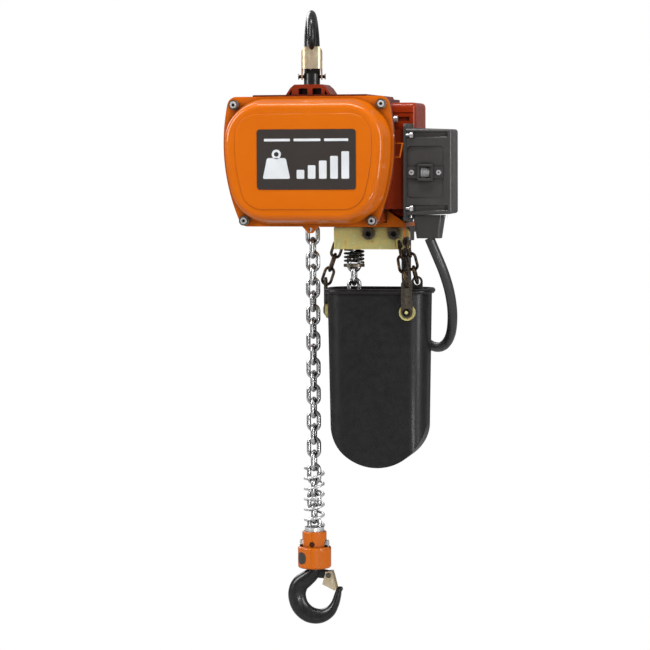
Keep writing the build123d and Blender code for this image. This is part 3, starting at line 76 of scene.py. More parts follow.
class Shader:
    """A Principled material with short ways to add the textures that it needs."""

    def __init__(self, name, color, roughness=0.5, metallic=0.0, coat=0.0, coat_roughness=0.1, shine=0.5):
        self.material = bpy.data.materials.new(name)
        self.material.use_nodes = True
        self.tree = self.material.node_tree
        self.bsdf = self.tree.nodes["Principled BSDF"]
        self.bsdf.inputs["Base Color"].default_value = (*color, 1)
        self.bsdf.inputs["Roughness"].default_value = roughness
        self.bsdf.inputs["Metallic"].default_value = metallic
        self.bsdf.inputs["Coat Weight"].default_value = coat
        self.bsdf.inputs["Coat Roughness"].default_value = coat_roughness
        self.bsdf.inputs["Specular IOR Level"].default_value = shine
        self.material.diffuse_color = (*color, 1)
        self.place = self.tree.nodes.new("ShaderNodeTexCoord").outputs["Object"]
        self.normal = None

    def stretched(self, scale):
        """The object's coordinates, scaled by axis, for grain that runs one way."""
        node = self.tree.nodes.new("ShaderNodeMapping")
        node.inputs["Scale"].default_value = scale
        self.tree.links.new(self.place, node.inputs["Vector"])
        return node.outputs["Vector"]

    def noise(self, size, detail=3.0, rough=0.55, place=None):
        """Noise whose blobs are about size metres across."""
        node = self.tree.nodes.new("ShaderNodeTexNoise")
        node.inputs["Scale"].default_value = 1 / size
        node.inputs["Detail"].default_value = detail
        node.inputs["Roughness"].default_value = rough
        self.tree.links.new(place or self.place, node.inputs["Vector"])
        return node.outputs["Fac"]

    def ramp(self, fac, stops):
        """A colour ramp from (place, colour) stops."""
        node = self.tree.nodes.new("ShaderNodeValToRGB")
        ramp = node.color_ramp.elements
        while len(ramp) < len(stops):
            ramp.new(0.5)
        for element, (at, color) in zip(ramp, stops):
            element.position = at
            element.color = (*color, 1)
        self.tree.links.new(fac, node.inputs["Fac"])
        return node.outputs["Color"]

    def mix(self, fac, a, b):
        """The colour a where fac is 0 and b where it is 1; each is a socket or a value."""
        node = self.tree.nodes.new("ShaderNodeMix")
        node.data_type = "RGBA"
        for socket, value in ((node.inputs[0], fac), (node.inputs[6], a), (node.inputs[7], b)):
            if isinstance(value, bpy.types.NodeSocket):
                self.tree.links.new(value, socket)
            elif isinstance(value, tuple):
                socket.default_value = (*value, 1)
            else:
                socket.default_value = value
        return node.outputs[2]

    def level(self, fac, low, high, start=0.0, end=1.0):
        """A value from low to high as fac goes from start to end."""
        node = self.tree.nodes.new("ShaderNodeMapRange")
        for name, value in (("From Min", start), ("From Max", end), ("To Min", low), ("To Max", high)):
            node.inputs[name].default_value = value
        self.tree.links.new(fac, node.inputs["Value"])
        return node.outputs["Result"]

    def edges(self, low=0.52, high=0.62):
        """1 on convex edges, 0 elsewhere."""
        node = self.tree.nodes.new("ShaderNodeNewGeometry")
        return self.level(node.outputs["Pointiness"], 0.0, 1.0, low, high)

    def hollows(self, reach, low=0.35, high=0.9):
        """1 in corners and gaps within reach metres, 0 in the open; the finishes use it to paint shade into
        their colours.
        """
        node = self.tree.nodes.new("ShaderNodeAmbientOcclusion")
        node.samples = 8
        node.inputs["Distance"].default_value = reach
        return self.level(node.outputs["AO"], 1.0, 0.0, low, high)

    def color(self, socket):
        self.tree.links.new(socket, self.bsdf.inputs["Base Color"])

    def rough(self, socket):
        self.tree.links.new(socket, self.bsdf.inputs["Roughness"])

    def bump(self, height, depth, strength=1.0):
        """Adds relief of about depth metres on top of any before it."""
        node = self.tree.nodes.new("ShaderNodeBump")
        node.inputs["Strength"].default_value = strength
        node.inputs["Distance"].default_value = depth
        self.tree.links.new(height, node.inputs["Height"])
        if self.normal:
            self.tree.links.new(self.normal, node.inputs["Normal"])
        self.normal = node.outputs["Normal"]
        self.tree.links.new(self.normal, self.bsdf.inputs["Normal"])


def enamel(name, color, shade, roughness=0.34, coat=0.5, peel=0.0001):
    """Sprayed gloss enamel on a casting, with orange peel, an uneven film and painted shade in its corners.
    """
    s = Shader(name, color, roughness, coat=coat, coat_roughness=0.04, shine=0.12)
    film_color = s.mix(s.level(s.noise(0.07, 2), 0.0, 1.0, 0.35, 0.75), color, shade)
    # painted shade: in corners and gaps the colour goes to a quarter of the shade tint
    enamel_hollow_shade = tuple(c * 0.25 for c in shade)
    s.color(s.mix(s.hollows(0.012), film_color, enamel_hollow_shade))
    s.rough(s.level(s.noise(0.012, 3), roughness - 0.05, roughness + 0.08, 0.3, 0.7))
    s.bump(s.noise(0.0022, 2), peel, 0.3)
    s.bump(s.noise(0.014, 2), 0.0002, 0.06)
    return s.material


def forging(name):
    """Black lacquer over a drop forging: soft scale pits under a gloss film."""
    thick, thin = (0.006, 0.006, 0.007), (0.016, 0.015, 0.015)
    s = Shader(name, (0.008, 0.008, 0.009), 0.3, coat=0.25, coat_roughness=0.1, shine=0.35)
    s.color(s.mix(s.level(s.noise(0.006, 4), 0.0, 1.0, 0.4, 0.7), thick, thin))
    s.rough(s.level(s.noise(0.004, 3), 0.26, 0.42, 0.3, 0.7))
    s.bump(s.noise(0.005, 3), 0.00025, 0.2)
    return s.material


def yellow_zinc(name, dark=0.3):
    """Passivated zinc plate: gold with green and brown clouds, and painted shade in its corners."""
    gold, pale = (0.82, 0.68, 0.24), (0.90, 0.82, 0.44)
    green, brown = (0.66, 0.64, 0.26), (0.60, 0.38, 0.12)
    s = Shader(name, gold, 0.3, metallic=0.35)
    clouds = s.ramp(s.noise(0.010, 5, 0.6), [(0.30, brown), (0.42, gold), (0.56, green), (0.70, pale)])
    # painted shade: the clouds go dark brown in corners and gaps, dark sets how dark
    s.color(s.mix(s.hollows(0.01), clouds, tuple(c * dark for c in brown)))
    s.rough(s.level(s.noise(0.005, 4), 0.26, 0.48, 0.3, 0.7))
    s.bump(s.noise(0.0016, 3, place=s.stretched((1, 1, 0.12))), 0.0001, 0.3)
    return s.material


def champagne_zinc(name):
    """Pale gold zinc plate on the hook latches, brushed along their length."""
    pale, warm = (0.74, 0.64, 0.46), (0.52, 0.38, 0.17)
    s = Shader(name, pale, 0.36, metallic=0.7)
    streaks = s.noise(0.0022, 3, place=s.stretched((1, 1, 0.08)))
    s.color(s.mix(s.level(streaks, 0.0, 0.75, 0.4, 0.75), pale, warm))
    s.rough(s.level(s.noise(0.004, 3), 0.32, 0.44, 0.3, 0.7))
    s.bump(streaks, 0.00002, 0.15)
    return s.material


def bright_zinc(name, tone=0.62, metal=1.0):
    """Bright zinc plate on chain, springs and screws, with painted shade, nearly black, in the hollows."""
    s = Shader(name, (tone, tone, tone), 0.22, metallic=metal)
    light, dull = (tone, tone, tone * 1.01), (tone * 0.66, tone * 0.65, tone * 0.62)
    plate = s.mix(s.level(s.noise(0.004, 4), 0.0, 0.6, 0.5, 0.75), light, dull)
    # painted shade: nearly black in the hollows and gaps
    s.color(s.mix(s.hollows(0.006, 0.3, 0.95), plate, (0.03, 0.028, 0.024)))
    s.rough(s.level(s.noise(0.0016, 3), 0.16, 0.36, 0.3, 0.7))
    s.bump(s.noise(0.0012, 3), 0.00012, 0.3)
    return s.material


def machined(name, tone=0.5, place=(1, 1, 1)):
    """Turned or milled steel with fine tool marks."""
    s = Shader(name, (tone, tone, tone), 0.32, metallic=1.0)
    s.color(s.mix(s.level(s.noise(0.01, 4), 0.0, 0.6, 0.4, 0.7), (tone, tone, tone), (tone * 0.6,) * 3))
    s.rough(s.level(s.noise(0.0008, 2, place=s.stretched(place)), 0.24, 0.46, 0.3, 0.7))
    s.bump(s.noise(0.0005, 2, place=s.stretched(place)), 0.00004, 0.4)
    return s.material


def browned_steel(name, color=(0.05, 0.035, 0.024), rust=(0.14, 0.08, 0.035)):
    """Black-oxide steel with a brown patina and worn bright edges."""
    s = Shader(name, color, 0.3, metallic=0.85)
    patina = s.ramp(s.noise(0.006, 4), [(0.32, (0.02, 0.017, 0.015)), (0.52, color), (0.72, rust)])
    s.color(s.mix(s.edges(0.55, 0.7), patina, (0.3, 0.26, 0.2)))
    s.rough(s.level(s.noise(0.003, 4), 0.2, 0.45, 0.3, 0.7))
    s.bump(s.noise(0.002, 3), 0.00015, 0.4)
    return s.material


def moulded(name, color, roughness=0.36, grain=0.0009, depth=0.0001, gloss=0.25):
    """Moulded plastic with a fine spark-eroded grain, rubbed, shinier patches and painted shade in its
    hollows.
    """
    s = Shader(name, color, roughness, coat=gloss, coat_roughness=0.12, shine=0.3)
    lighter = tuple(min(1.0, c * 1.25 + 0.002) for c in color)
    surface = s.mix(s.level(s.noise(0.03, 4), 0.0, 0.6, 0.4, 0.75), color, lighter)
    # painted shade: the colour goes to a fifth in corners and gaps
    s.color(s.mix(s.hollows(0.006), surface, tuple(c * 0.2 for c in color)))
    s.rough(s.level(s.noise(0.009, 3), roughness - 0.08, roughness + 0.1, 0.3, 0.7))
    s.bump(s.noise(grain, 2), depth, 0.5)
    return s.material


def rubber(name, color=(0.012, 0.012, 0.013)):
    """Cable sheath rubber: matt, with the faint lay of the cores under it."""
    s = Shader(name, color, 0.38, coat=0.3, coat_roughness=0.16)
    s.color(s.mix(s.level(s.noise(0.015, 3), 0.0, 0.8, 0.4, 0.7), color, (0.03, 0.03, 0.031)))
    s.rough(s.level(s.noise(0.004, 3), 0.34, 0.52, 0.3, 0.7))
    s.bump(s.noise(0.0015, 3), 0.0001, 0.4)
    return s.material


def smoked_window(name):
    """Smoked clear plastic over the counter."""
    s = Shader(name, (0.035, 0.03, 0.03), 0.08, coat=1.0, coat_roughness=0.03)
    s.rough(s.level(s.noise(0.004, 2), 0.05, 0.14, 0.3, 0.7))
    s.bump(s.noise(0.003, 2), 0.00005, 0.2)
    return s.material


def film(name, color, roughness=0.35):
    """Printed label film with a satin varnish."""
    s = Shader(name, color, roughness, coat=0.3, coat_roughness=0.2)
    s.color(s.mix(s.level(s.noise(0.03, 4), 0.0, 0.5, 0.4, 0.7), color, tuple(c * 1.25 for c in color)))
    s.rough(s.level(s.noise(0.003, 3), roughness - 0.05, roughness + 0.08, 0.3, 0.7))
    s.bump(s.noise(0.0012, 2), 0.00003, 0.3)
    return s.material


def windings(name):
    """Lacquered copper windings and laminations inside the motor."""
    s = Shader(name, (0.28, 0.12, 0.05), 0.35, metallic=0.6)
    s.color(s.mix(s.level(s.noise(0.002, 2), 0.0, 1.0, 0.4, 0.6), (0.3, 0.13, 0.05), (0.1, 0.05, 0.03)))
    s.bump(s.noise(0.0012, 2), 0.0002, 0.5)
    return s.material


ORANGE, ORANGE_SHADE = (0.59, 0.126, 0.0005), (0.55, 0.113, 0.0005)
RED, RED_SHADE = (0.30, 0.028, 0.004), (0.25, 0.022, 0.004)
# the frame's red is the side cover's red enamel made darker: painted shade for frame parts that sit in shadow
SHADED_FRAME_RED, FRAME_SHADE = (0.22, 0.024, 0.005), (0.15, 0.016, 0.004)
BLACK = (0.052, 0.050, 0.048)

FINISH = {
    "orange": enamel("orange_enamel", ORANGE, ORANGE_SHADE),
    "red": enamel("red_enamel", RED, RED_SHADE, 0.32, 0.4, 0.00016),
    "shaded_frame_red": enamel("shaded_frame_enamel", SHADED_FRAME_RED, FRAME_SHADE, 0.36, 0.4, 0.00016),
    "forging": forging("black_forging"),
    "champagne": champagne_zinc("champagne_zinc"),
    "gold": yellow_zinc("yellow_zinc_sheet"),
    "bright": bright_zinc("bright_zinc"),
    "screw": bright_zinc("bright_zinc_screws", 0.8, 0.6),
    "steel": machined("machined_steel"),
    "shaft": machined("turned_shafts", 0.5, (1, 8, 1)),
    "brown": browned_steel("browned_steel"),
    "black_steel": browned_steel("black_oxide_steel", (0.022, 0.02, 0.018), (0.05, 0.04, 0.03)),
    "black": moulded("black_moulding", BLACK),
    "bucket": moulded("bucket_moulding", (0.011, 0.0105, 0.0105), 0.38, 0.0016, 0.00015, 0.1),
    "window": smoked_window("smoked_window"),
    "label": film("label_film", (0.028, 0.022, 0.019)),
    "print": film("label_print", (0.62, 0.64, 0.66), 0.4),
    "digits": film("counter_wheel_faces", (0.32, 0.33, 0.33), 0.3),
    "cable": rubber("cable_rubber", (0.024, 0.023, 0.023)),
    "gasket": rubber("gasket_rubber", (0.02, 0.02, 0.02)),
    "brass": yellow_zinc("brass_washers"),
    "copper": windings("windings"),
}

NODE_FINISH = {
    "orange": ["front_cover", "block_left_half", "block_right_half", "bracket_carrier", "cable_clip"],
    "red": ["side_cover"],
    # painted shade: the frame parts get the darker copy of the red enamel
    "shaded_frame_red": ["main_frame", "motor_housing", "end_cover", "cooling_fan"],
    "forging": ["top_hook", "lower_hook"],
    "champagne": ["top_latch", "lower_latch"],
    "gold": ["bucket_bracket"],
    "bright": ["load_chain", "slack_chain"],
    "screw": ["cover_screws", "side_screws", "chain_bolt", "control_box_screws", "spring_washer",
              "load_spring"],
    "steel": ["hook_nut", "load_sheave", "load_gear", "layshaft_gear", "ball_bearings", "gear_plate",
              "hook_thrust_bearing", "block_thrust_bearing", "chain_guide", "brake_disc", "brake_plate",
              "brake_armature"],
    "shaft": ["layshaft", "motor_shaft"],
    "black_steel": ["top_latch_pin", "lower_latch_pin", "bracket_bolts", "slack_spring", "slack_spring_seats",
                    "bucket_straps"],
    "brown": ["bucket_chains"],
    "black": ["control_box", "control_box_plate", "counter_strap", "cable_gland", "rear_gland", "contactor"],
    "bucket": ["chain_bucket"],
    "window": ["counter_window"],
    "label": ["rating_plate"],
    "cable": ["power_cable"],
    "gasket": ["cover_gasket"],
    "brass": ["bucket_rivets"],
    "copper": ["motor_stator", "motor_rotor", "brake_coil", "transformer"],
}


def paint_nodes():
    """Every CAD node gets its finish in each of its material slots."""
    for finish, names in NODE_FINISH.items():
        for name in names:
            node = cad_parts[name]
            if not node.data.materials:
                node.data.materials.append(FINISH[finish])
            for slot in node.material_slots:
                slot.material = FINISH[finish]


# ---------------------------------------------------------------- mesh helpers

def piece(name, mesh, body, finish, replaced=()):
    """A finished mesh as a piece that rides on a body."""
    obj = bpy.data.objects.new(name, mesh)
    bpy.context.scene.collection.objects.link(obj)
    mesh.materials.append(FINISH[finish])
    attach(obj, body)
    if replaced:
        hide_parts(*replaced)
    return obj


def rounded(corners, radius, steps=5):
    """A closed outline through 2-D corners, each rounded by the radius."""
    points = []
    count = len(corners)
    for k, corner in enumerate(corners):
        here = Vector(corner)
        to_last = Vector(corners[k - 1]) - here
        to_next = Vector(corners[(k + 1) % count]) - here
        reach = min(radius, to_last.length / 2, to_next.length / 2)
        start, end = here + to_last.normalized() * reach, here + to_next.normalized() * reach
        for step in range(steps + 1):
            t = step / steps
            points.append(start * (1 - t) ** 2 + here * 2 * t * (1 - t) + end * t ** 2)
    return points


def box_corners(x0, z0, x1, z1):
    return [(x0, z0), (x1, z0), (x1, z1), (x0, z1)]


def circle(x, z, radius, segments=32):
    turns = [k * (2 * math.pi / segments) for k in range(segments)]
    return [Vector((x + radius * math.cos(turn), z + radius * math.sin(turn))) for turn in turns]


def prism(bm, outline, place, depth, bevel=0.0):
    """A prism on a 2-D outline: place maps (u, v, w) to a point, w runs from 0 at the back to depth."""
    back = [bm.verts.new(place(u, v, 0)) for u, v in outline]
    front = [bm.verts.new(place(u, v, depth)) for u, v in outline]
    faces = [bm.faces.new(front), bm.faces.new(list(reversed(back)))]
    for k in range(len(outline)):
        n = (k + 1) % len(outline)
        faces.append(bm.faces.new((back[k], back[n], front[n], front[k])))
    bmesh.ops.recalc_face_normals(bm, faces=faces)
    if bevel:
        bmesh.ops.bevel(bm, geom=list(faces[0].edges), offset=bevel, segments=3, affect="EDGES", profile=0.6)


def ring_prism(bm, outer, inner, place, depth):
    """A flat ring between two outlines with the same number of points."""
    count = len(outer)
    rows = [[bm.verts.new(place(u, v, w)) for u, v in line] for line in (outer, inner) for w in (0, depth)]
    quads = []
    for a, b in ((0, 1), (1, 3), (3, 2), (2, 0)):
        for k in range(count):
            n = (k + 1) % count
            quads.append(bm.faces.new((rows[a][k], rows[a][n], rows[b][n], rows[b][k])))
    bmesh.ops.recalc_face_normals(bm, faces=quads)


def finished(name, bm, smooth_angle=35):
    """The bmesh as mesh data, smooth except at its sharp edges."""
    mesh = bpy.data.meshes.new(name)
    bm.to_mesh(mesh)
    bm.free()
    mesh.shade_smooth()
    mesh.set_sharp_from_angle(angle=math.radians(smooth_angle))
    return mesh


def front_at(y):
    """Maps (x, z, w) to a point w in front of the plane across Y at y."""
    return lambda x, z, w: (x, y - w, z)


def right_of(x):
    """Maps (y, z, w) to a point w to the right of the plane across X at x."""
    return lambda y, z, w: (x + w, y, z)


def above(z):
    """Maps (x, y, w) to a point w above the plane across Z at z."""
    return lambda x, y, w: (x, y, z + w)


# ---------------------------------------------------------------- rating plate print

INK_DEPTH = 0.00012
# the marks' places and sizes, in mm from the middle of the plate: x across, z up
MARKS_FOOT = -26
RULES = [(-58, -22), (-17, 20), (25, 58)]
RULE_LOW, RULE_HIGH, RULE_CORNER = 24.5, 28, 1.2
WEIGHT_CORNERS = [(-60, MARKS_FOOT), (-22, MARKS_FOOT), (-28, 2), (-54, 2)]
WEIGHT_CORNER = 3
EYE_X, EYE_Z, EYE_OUTER, EYE_INNER = -41, 7, 6.4, 3.2
BARS, BARS_LEFT, BAR_STEP, BAR_WIDTH, BAR_CORNER = 5, -13, 15.4, 10.5, 1.6
FIRST_BAR, BAR_RISE = 12, 6.2


def plate_print():
    """Generic load marks on the rating plate: three rules, a weight with its eye and a rising bar scale."""
    low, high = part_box("rating_plate")
    x, z = (low.x + high.x) / 2, (low.z + high.z) / 2
    face = front_at(low.y)
    bm = bmesh.new()
    for start, end in RULES:
        rule = box_corners(x + start * MM, z + RULE_LOW * MM, x + end * MM, z + RULE_HIGH * MM)
        prism(bm, rounded(rule, RULE_CORNER * MM), face, INK_DEPTH)
    weight = [(x + u * MM, z + v * MM) for u, v in WEIGHT_CORNERS]
    prism(bm, rounded(weight, WEIGHT_CORNER * MM), face, INK_DEPTH)
    eye = (x + EYE_X * MM, z + EYE_Z * MM)
    ring_prism(bm, circle(*eye, EYE_OUTER * MM), circle(*eye, EYE_INNER * MM), face, INK_DEPTH)
    for k in range(BARS):
        left = x + (BARS_LEFT + k * BAR_STEP) * MM
        top = z + (MARKS_FOOT + FIRST_BAR + k * BAR_RISE) * MM
        bar = box_corners(left, z + MARKS_FOOT * MM, left + BAR_WIDTH * MM, top)
        prism(bm, rounded(bar, BAR_CORNER * MM), face, INK_DEPTH)
    piece("plate_print", finished("plate_print", bm), "body", "print")


# ---------------------------------------------------------------- operation counter

WHEELS, WHEEL_RADIUS, WHEEL_WIDTH, WHEEL_GAP = 4, 8.2 * MM, 2.6 * MM, 0.5 * MM
AXLE_DEPTH = 4.4 * MM
HOOD_WIDTH, HOOD_HEIGHT, HOOD_CORNER, HOOD_DEPTH = 22 * MM, 24 * MM, 3 * MM, 4.2 * MM
OPENING, OPENING_CORNER = 16 * MM, 1.5 * MM
LIP_LENGTH, LIP_THICKNESS, LIP_CORNER = 19 * MM, 3.2 * MM, 1.5 * MM
LIP_OFFSET, LIP_DEPTH = 9.8 * MM, 5.9 * MM
CHEEK_WIDTH, CHEEK_OFFSET, CHEEK_DEPTH = 1.4 * MM, 7.2 * MM, 4.6 * MM


def centred(x, z, width, height):
    """The corners of a box centred on (x, z)."""
    return box_corners(x - width / 2, z - height / 2, x + width / 2, z + height / 2)


def counter():
    """The counter on the control box: blank number wheels between smoked cheeks, in a hood with two lips."""
    low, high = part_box("counter_window")
    x, z = (low.x + high.x) / 2, (low.z + high.z) / 2
    panel = front_at(high.y)
    wheels = bmesh.new()
    rim = circle(high.y + AXLE_DEPTH, z, WHEEL_RADIUS, 40)
    for k in range(WHEELS):
        left = x + (k - WHEELS / 2) * (WHEEL_WIDTH + WHEEL_GAP) + WHEEL_GAP / 2
        prism(wheels, rim, right_of(left), WHEEL_WIDTH, 0.25 * MM)
    piece("counter_wheels", finished("counter_wheels", wheels), "body", "digits")
    hood = bmesh.new()
    outer = rounded(centred(x, z, HOOD_WIDTH, HOOD_HEIGHT), HOOD_CORNER, 8)
    inner = rounded(centred(x, z, OPENING, OPENING), OPENING_CORNER, 8)
    ring_prism(hood, outer, inner, panel, HOOD_DEPTH)
    for side in (-1, 1):
        lip = centred(x, z + side * LIP_OFFSET, LIP_LENGTH, LIP_THICKNESS)
        prism(hood, rounded(lip, LIP_CORNER), panel, LIP_DEPTH, 1.0 * MM)
    mesh = finished("counter_hood", hood)
    piece("counter_hood", mesh, "body", "black", ["counter_window"])
    cheeks = bmesh.new()
    for side in (-1, 1):
        cheek = centred(x + side * CHEEK_OFFSET, z, CHEEK_WIDTH, OPENING)
        prism(cheeks, rounded(cheek, 0.5 * MM), panel, CHEEK_DEPTH, 0.3 * MM)
    piece("counter_cheeks", finished("counter_cheeks", cheeks), "body", "window")


# ---------------------------------------------------------------- screw heads

def islands(name):
    """The boxes (low, high) of each separate solid in a CAD node, in the CAD frame."""
    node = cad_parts[name]
    bm = bmesh.new()
    bm.from_mesh(node.data)
    bmesh.ops.remove_doubles(bm, verts=bm.verts, dist=1e-5)
    waiting, boxes = set(bm.verts), []
    while waiting:
        first = waiting.pop()
        group, front = [first], [first]
        while front:
            vert = front.pop()
            for link in vert.link_edges:
                other = link.other_vert(vert)
                if other in waiting:
                    waiting.remove(other)
                    group.append(other)
                    front.append(other)
        points = [node.matrix_world @ v.co for v in group]
        boxes.append((Vector([min(p[k] for p in points) for k in range(3)]),
                      Vector([max(p[k] for p in points) for k in range(3)])))
    bm.free()
    return boxes


# radii of the marks on a screw's head, as parts of the head's own
RIM, SOCKET, WASHER_INNER, WASHER_OUTER = 0.72, 0.36, 0.8, 1.02


def screw_heads():
    """Washers, domed rims and dark hexagons over the cover's front screws; the dark hexagons are painted
    shade for the socket recesses.
    """
    washers, rims, socket_shades = bmesh.new(), bmesh.new(), bmesh.new()
    screws = islands("cover_screws")
    foremost = min(low.y for low, high in screws)
    for low, high in screws:
        if low.y > foremost + 8 * MM:
            continue
        x, z, r = (low.x + high.x) / 2, (low.z + high.z) / 2, (high.x - low.x) / 2
        face = front_at(low.y)
        prism(rims, circle(x, z, r * RIM, 40), face, 0.8 * MM, 0.7 * MM)
        # painted shade: a dark hexagon a little proud of the rim, where the socket's recess would be
        prism(socket_shades, circle(x, z, r * SOCKET, 6), face, 0.95 * MM, 0.1 * MM)
        outer, inner = circle(x, z, r * WASHER_OUTER, 40), circle(x, z, r * WASHER_INNER, 40)
        ring_prism(washers, outer, inner, face, 0.25 * MM)
    piece("screw_rims", finished("screw_rims", rims), "body", "screw")
    piece("screw_socket_shade", finished("screw_socket_shade", socket_shades), "body", "black_steel")
    piece("screw_washers", finished("screw_washers", washers), "body", "black_steel")


# ---------------------------------------------------------------- strap eyes

EYELET_RADIUS, RIVET_RADIUS = 5.6 * MM, 2.4 * MM


def strap_eyes():
    """A round eye and a rivet where the front strap meets the bucket."""
    low, high = min(islands("bucket_rivets"), key=lambda box: box[0].y)
    x, z = (low.x + high.x) / 2, (low.z + high.z) / 2
    face = front_at(low.y)
    eye, rivet = bmesh.new(), bmesh.new()
    prism(eye, circle(x, z, EYELET_RADIUS, 40), face, 0.6 * MM, 0.5 * MM)
    prism(rivet, circle(x, z, RIVET_RADIUS, 32), face, 1.3 * MM, 0.9 * MM)
    piece("strap_eye", finished("strap_eye", eye), "bucket", "black_steel")
    piece("strap_rivet", finished("strap_rivet", rivet), "bucket", "brass")


# ---------------------------------------------------------------- lower hook

# everything about the hook is in mm: x across and z up, from the top hook's bowl
HOOK_BOWL = (7.1, -796.3)
# round the bowl: angle in degrees, inner radius, outer radius, half thickness
HOOK_RING = [
    (17, 25.8, 34.0, 5.4), (0, 21.4, 31.6, 6.6), (-30, 19.6, 31.8, 7.8), (-60, 19.8, 36.4, 8.8),
    (-90, 20.2, 41.2, 9.5), (-120, 20.4, 44.6, 9.9), (-150, 20.5, 46.0, 10.0), (-180, 20.4, 46.2, 10.0),
    (-206, 19.8, 45.0, 10.0), (-230, 18.4, 41.5, 10.0),
]
# before and after the bowl: x, z, half width, half thickness
HOOK_NIB = [(39.4, -783.2, 1.4, 1.6), (38.9, -784.4, 2.9, 3.4), (37.6, -786.6, 3.7, 4.6)]
HOOK_NECK = [
    (-5.0, -767.4, 10.4, 9.6), (-0.8, -761.0, 9.4, 9.3), (0.0, -755.0, 9.2, 9.2), (0.0, -749.6, 9.2, 9.2),
]
# the section is squarer than an ellipse and fuller on its inner side, but even near the shank
SECTION_POWER, INNER_FULLNESS, THICK_SECTION = 0.9, 0.16, 9.5
ROUND_FROM, ROUND_OVER = -759, 8
SHANK_FOOT, SHANK_RADIUS = -752, 9.5
COLLAR_DEPTH = 8.1
# the ear that carries the latch's pin
LATCH_EAR = [(0, -758), (19, -759.6), (26.3, -762.6), (26.6, -769), (20, -771.6), (8, -771), (-2, -770)]
EAR_CORNER, EAR_THICKNESS = 4, 8


def between(a, b, c, d, t):
    """The value at t of the way from b to c on a smooth run through a, b, c and d."""
    return b + ((c - a) * t + (2 * a - 5 * b + 4 * c - d) * t ** 2 + (3 * b - a - 3 * c + d) * t ** 3) / 2


def smooth_through(rows, steps):
    """Rows of numbers drawn out to a smooth run that goes through each of them."""
    run = []
    for k in range(len(rows) - 1):
        around = [rows[min(max(k + d, 0), len(rows) - 1)] for d in (-1, 0, 1, 2)]
        for step in range(steps):
            run.append([between(*values, step / steps) for values in zip(*around)])
    run.append(list(rows[-1]))
    return run


def section_point(across, half, turn, z):
    """Where the hook's section is at a turn about its middle: how far outward and how far to the side."""
    thick = min(1.0, across / THICK_SECTION)
    below_neck = min(1.0, max(0.0, (ROUND_FROM - z) / ROUND_OVER))
    fullness = 1 - INNER_FULLNESS * math.cos(turn) * thick * below_neck
    side = half * math.copysign(abs(math.sin(turn)) ** SECTION_POWER, math.sin(turn)) * fullness
    return across * math.cos(turn), side


def lower_hook():
    """The lower hook as one smooth forging, from its nib round the bowl and up into the block."""
    rows = list(HOOK_NIB)
    for angle, inner, outer, half in HOOK_RING:
        turn, middle = math.radians(angle), (inner + outer) / 2
        x, z = HOOK_BOWL[0] + middle * math.cos(turn), HOOK_BOWL[1] + middle * math.sin(turn)
        rows.append((x, z, (outer - inner) / 2, half))
    run = smooth_through(rows + HOOK_NECK, 8)
    bm = bmesh.new()
    rings, segments = [], 36
    for k, (x, z, across, half) in enumerate(run):
        last, following = run[max(k - 1, 0)], run[min(k + 1, len(run) - 1)]
        along = Vector((following[0] - last[0], 0, following[1] - last[1])).normalized()
        outward = Vector((along.z, 0, -along.x))
        ring = []
        for step in range(segments):
            out, side = section_point(across, half, 2 * math.pi * step / segments, z)
            ring.append(bm.verts.new((Vector((x, side, z)) + outward * out) * MM))
        rings.append(ring)
    for a, b in zip(rings, rings[1:]):
        for step in range(segments):
            n = (step + 1) % segments
            bm.faces.new((a[step], a[n], b[n], b[step]))
    bm.faces.new(rings[0])
    bm.faces.new(list(reversed(rings[-1])))
    bmesh.ops.recalc_face_normals(bm, faces=bm.faces)
    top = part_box("lower_hook")[1]
    shank, collar = SHANK_FOOT * MM, top.z - COLLAR_DEPTH * MM
    prism(bm, circle(0, 0, SHANK_RADIUS * MM), above(shank), top.z - shank)
    prism(bm, circle(0, 0, top.y, 48), above(collar), COLLAR_DEPTH * MM, 0.8 * MM)
    ear = rounded([(u * MM, v * MM) for u, v in LATCH_EAR], EAR_CORNER * MM)
    prism(bm, ear, front_at(EAR_THICKNESS / 2 * MM), EAR_THICKNESS * MM, 0.8 * MM)
    mesh = finished("hook_forging", bm, 50)
    piece("hook_forging", mesh, "low_hook", "forging", ["lower_hook"])


# ---------------------------------------------------------------- bottom block patch

# a square patch with its sides bulged: the smaller the rounding, the rounder the patch
PATCH_LIFT, PATCH_THICKNESS = 0.00015, 0.0002
PATCH_MIDDLE, PATCH_HALF_TURN = math.radians(41), math.radians(21)
PATCH_HEIGHT, PATCH_HALF_HEIGHT = 15.5 * MM, 8.5 * MM
PATCH_ROUNDING = 2.6


def block_patch():
    """A blank black patch on the left of the bottom block, bent round its barrel."""
    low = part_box("block_left_half")[0]
    radius, height = -low.x + PATCH_LIFT, low.z + PATCH_HEIGHT
    steps = 18
    bm = bmesh.new()
    grid = []
    for i in range(steps + 1):
        row = []
        for j in range(steps + 1):
            u, v = 2 * i / steps - 1, 2 * j / steps - 1
            u, v = u * math.sqrt(1 - v * v / PATCH_ROUNDING), v * math.sqrt(1 - u * u / PATCH_ROUNDING)
            angle = PATCH_MIDDLE + u * PATCH_HALF_TURN
            x, y = -radius * math.sin(angle), -radius * math.cos(angle)
            row.append(bm.verts.new((x, y, height + v * PATCH_HALF_HEIGHT)))
        grid.append(row)
    for i in range(steps):
        for j in range(steps):
            bm.faces.new((grid[i][j], grid[i + 1][j], grid[i + 1][j + 1], grid[i][j + 1]))
    bmesh.ops.recalc_face_normals(bm, faces=bm.faces)
    bmesh.ops.solidify(bm, geom=bm.faces[:], thickness=-PATCH_THICKNESS)
    piece("block_patch", finished("block_patch", bm), "load", "label")


# ---------------------------------------------------------------- bucket rim

BEAD_RADIUS, BEAD_INSET = 3.4 * MM, 0.55
MOUTH_CORNER = 27 * MM


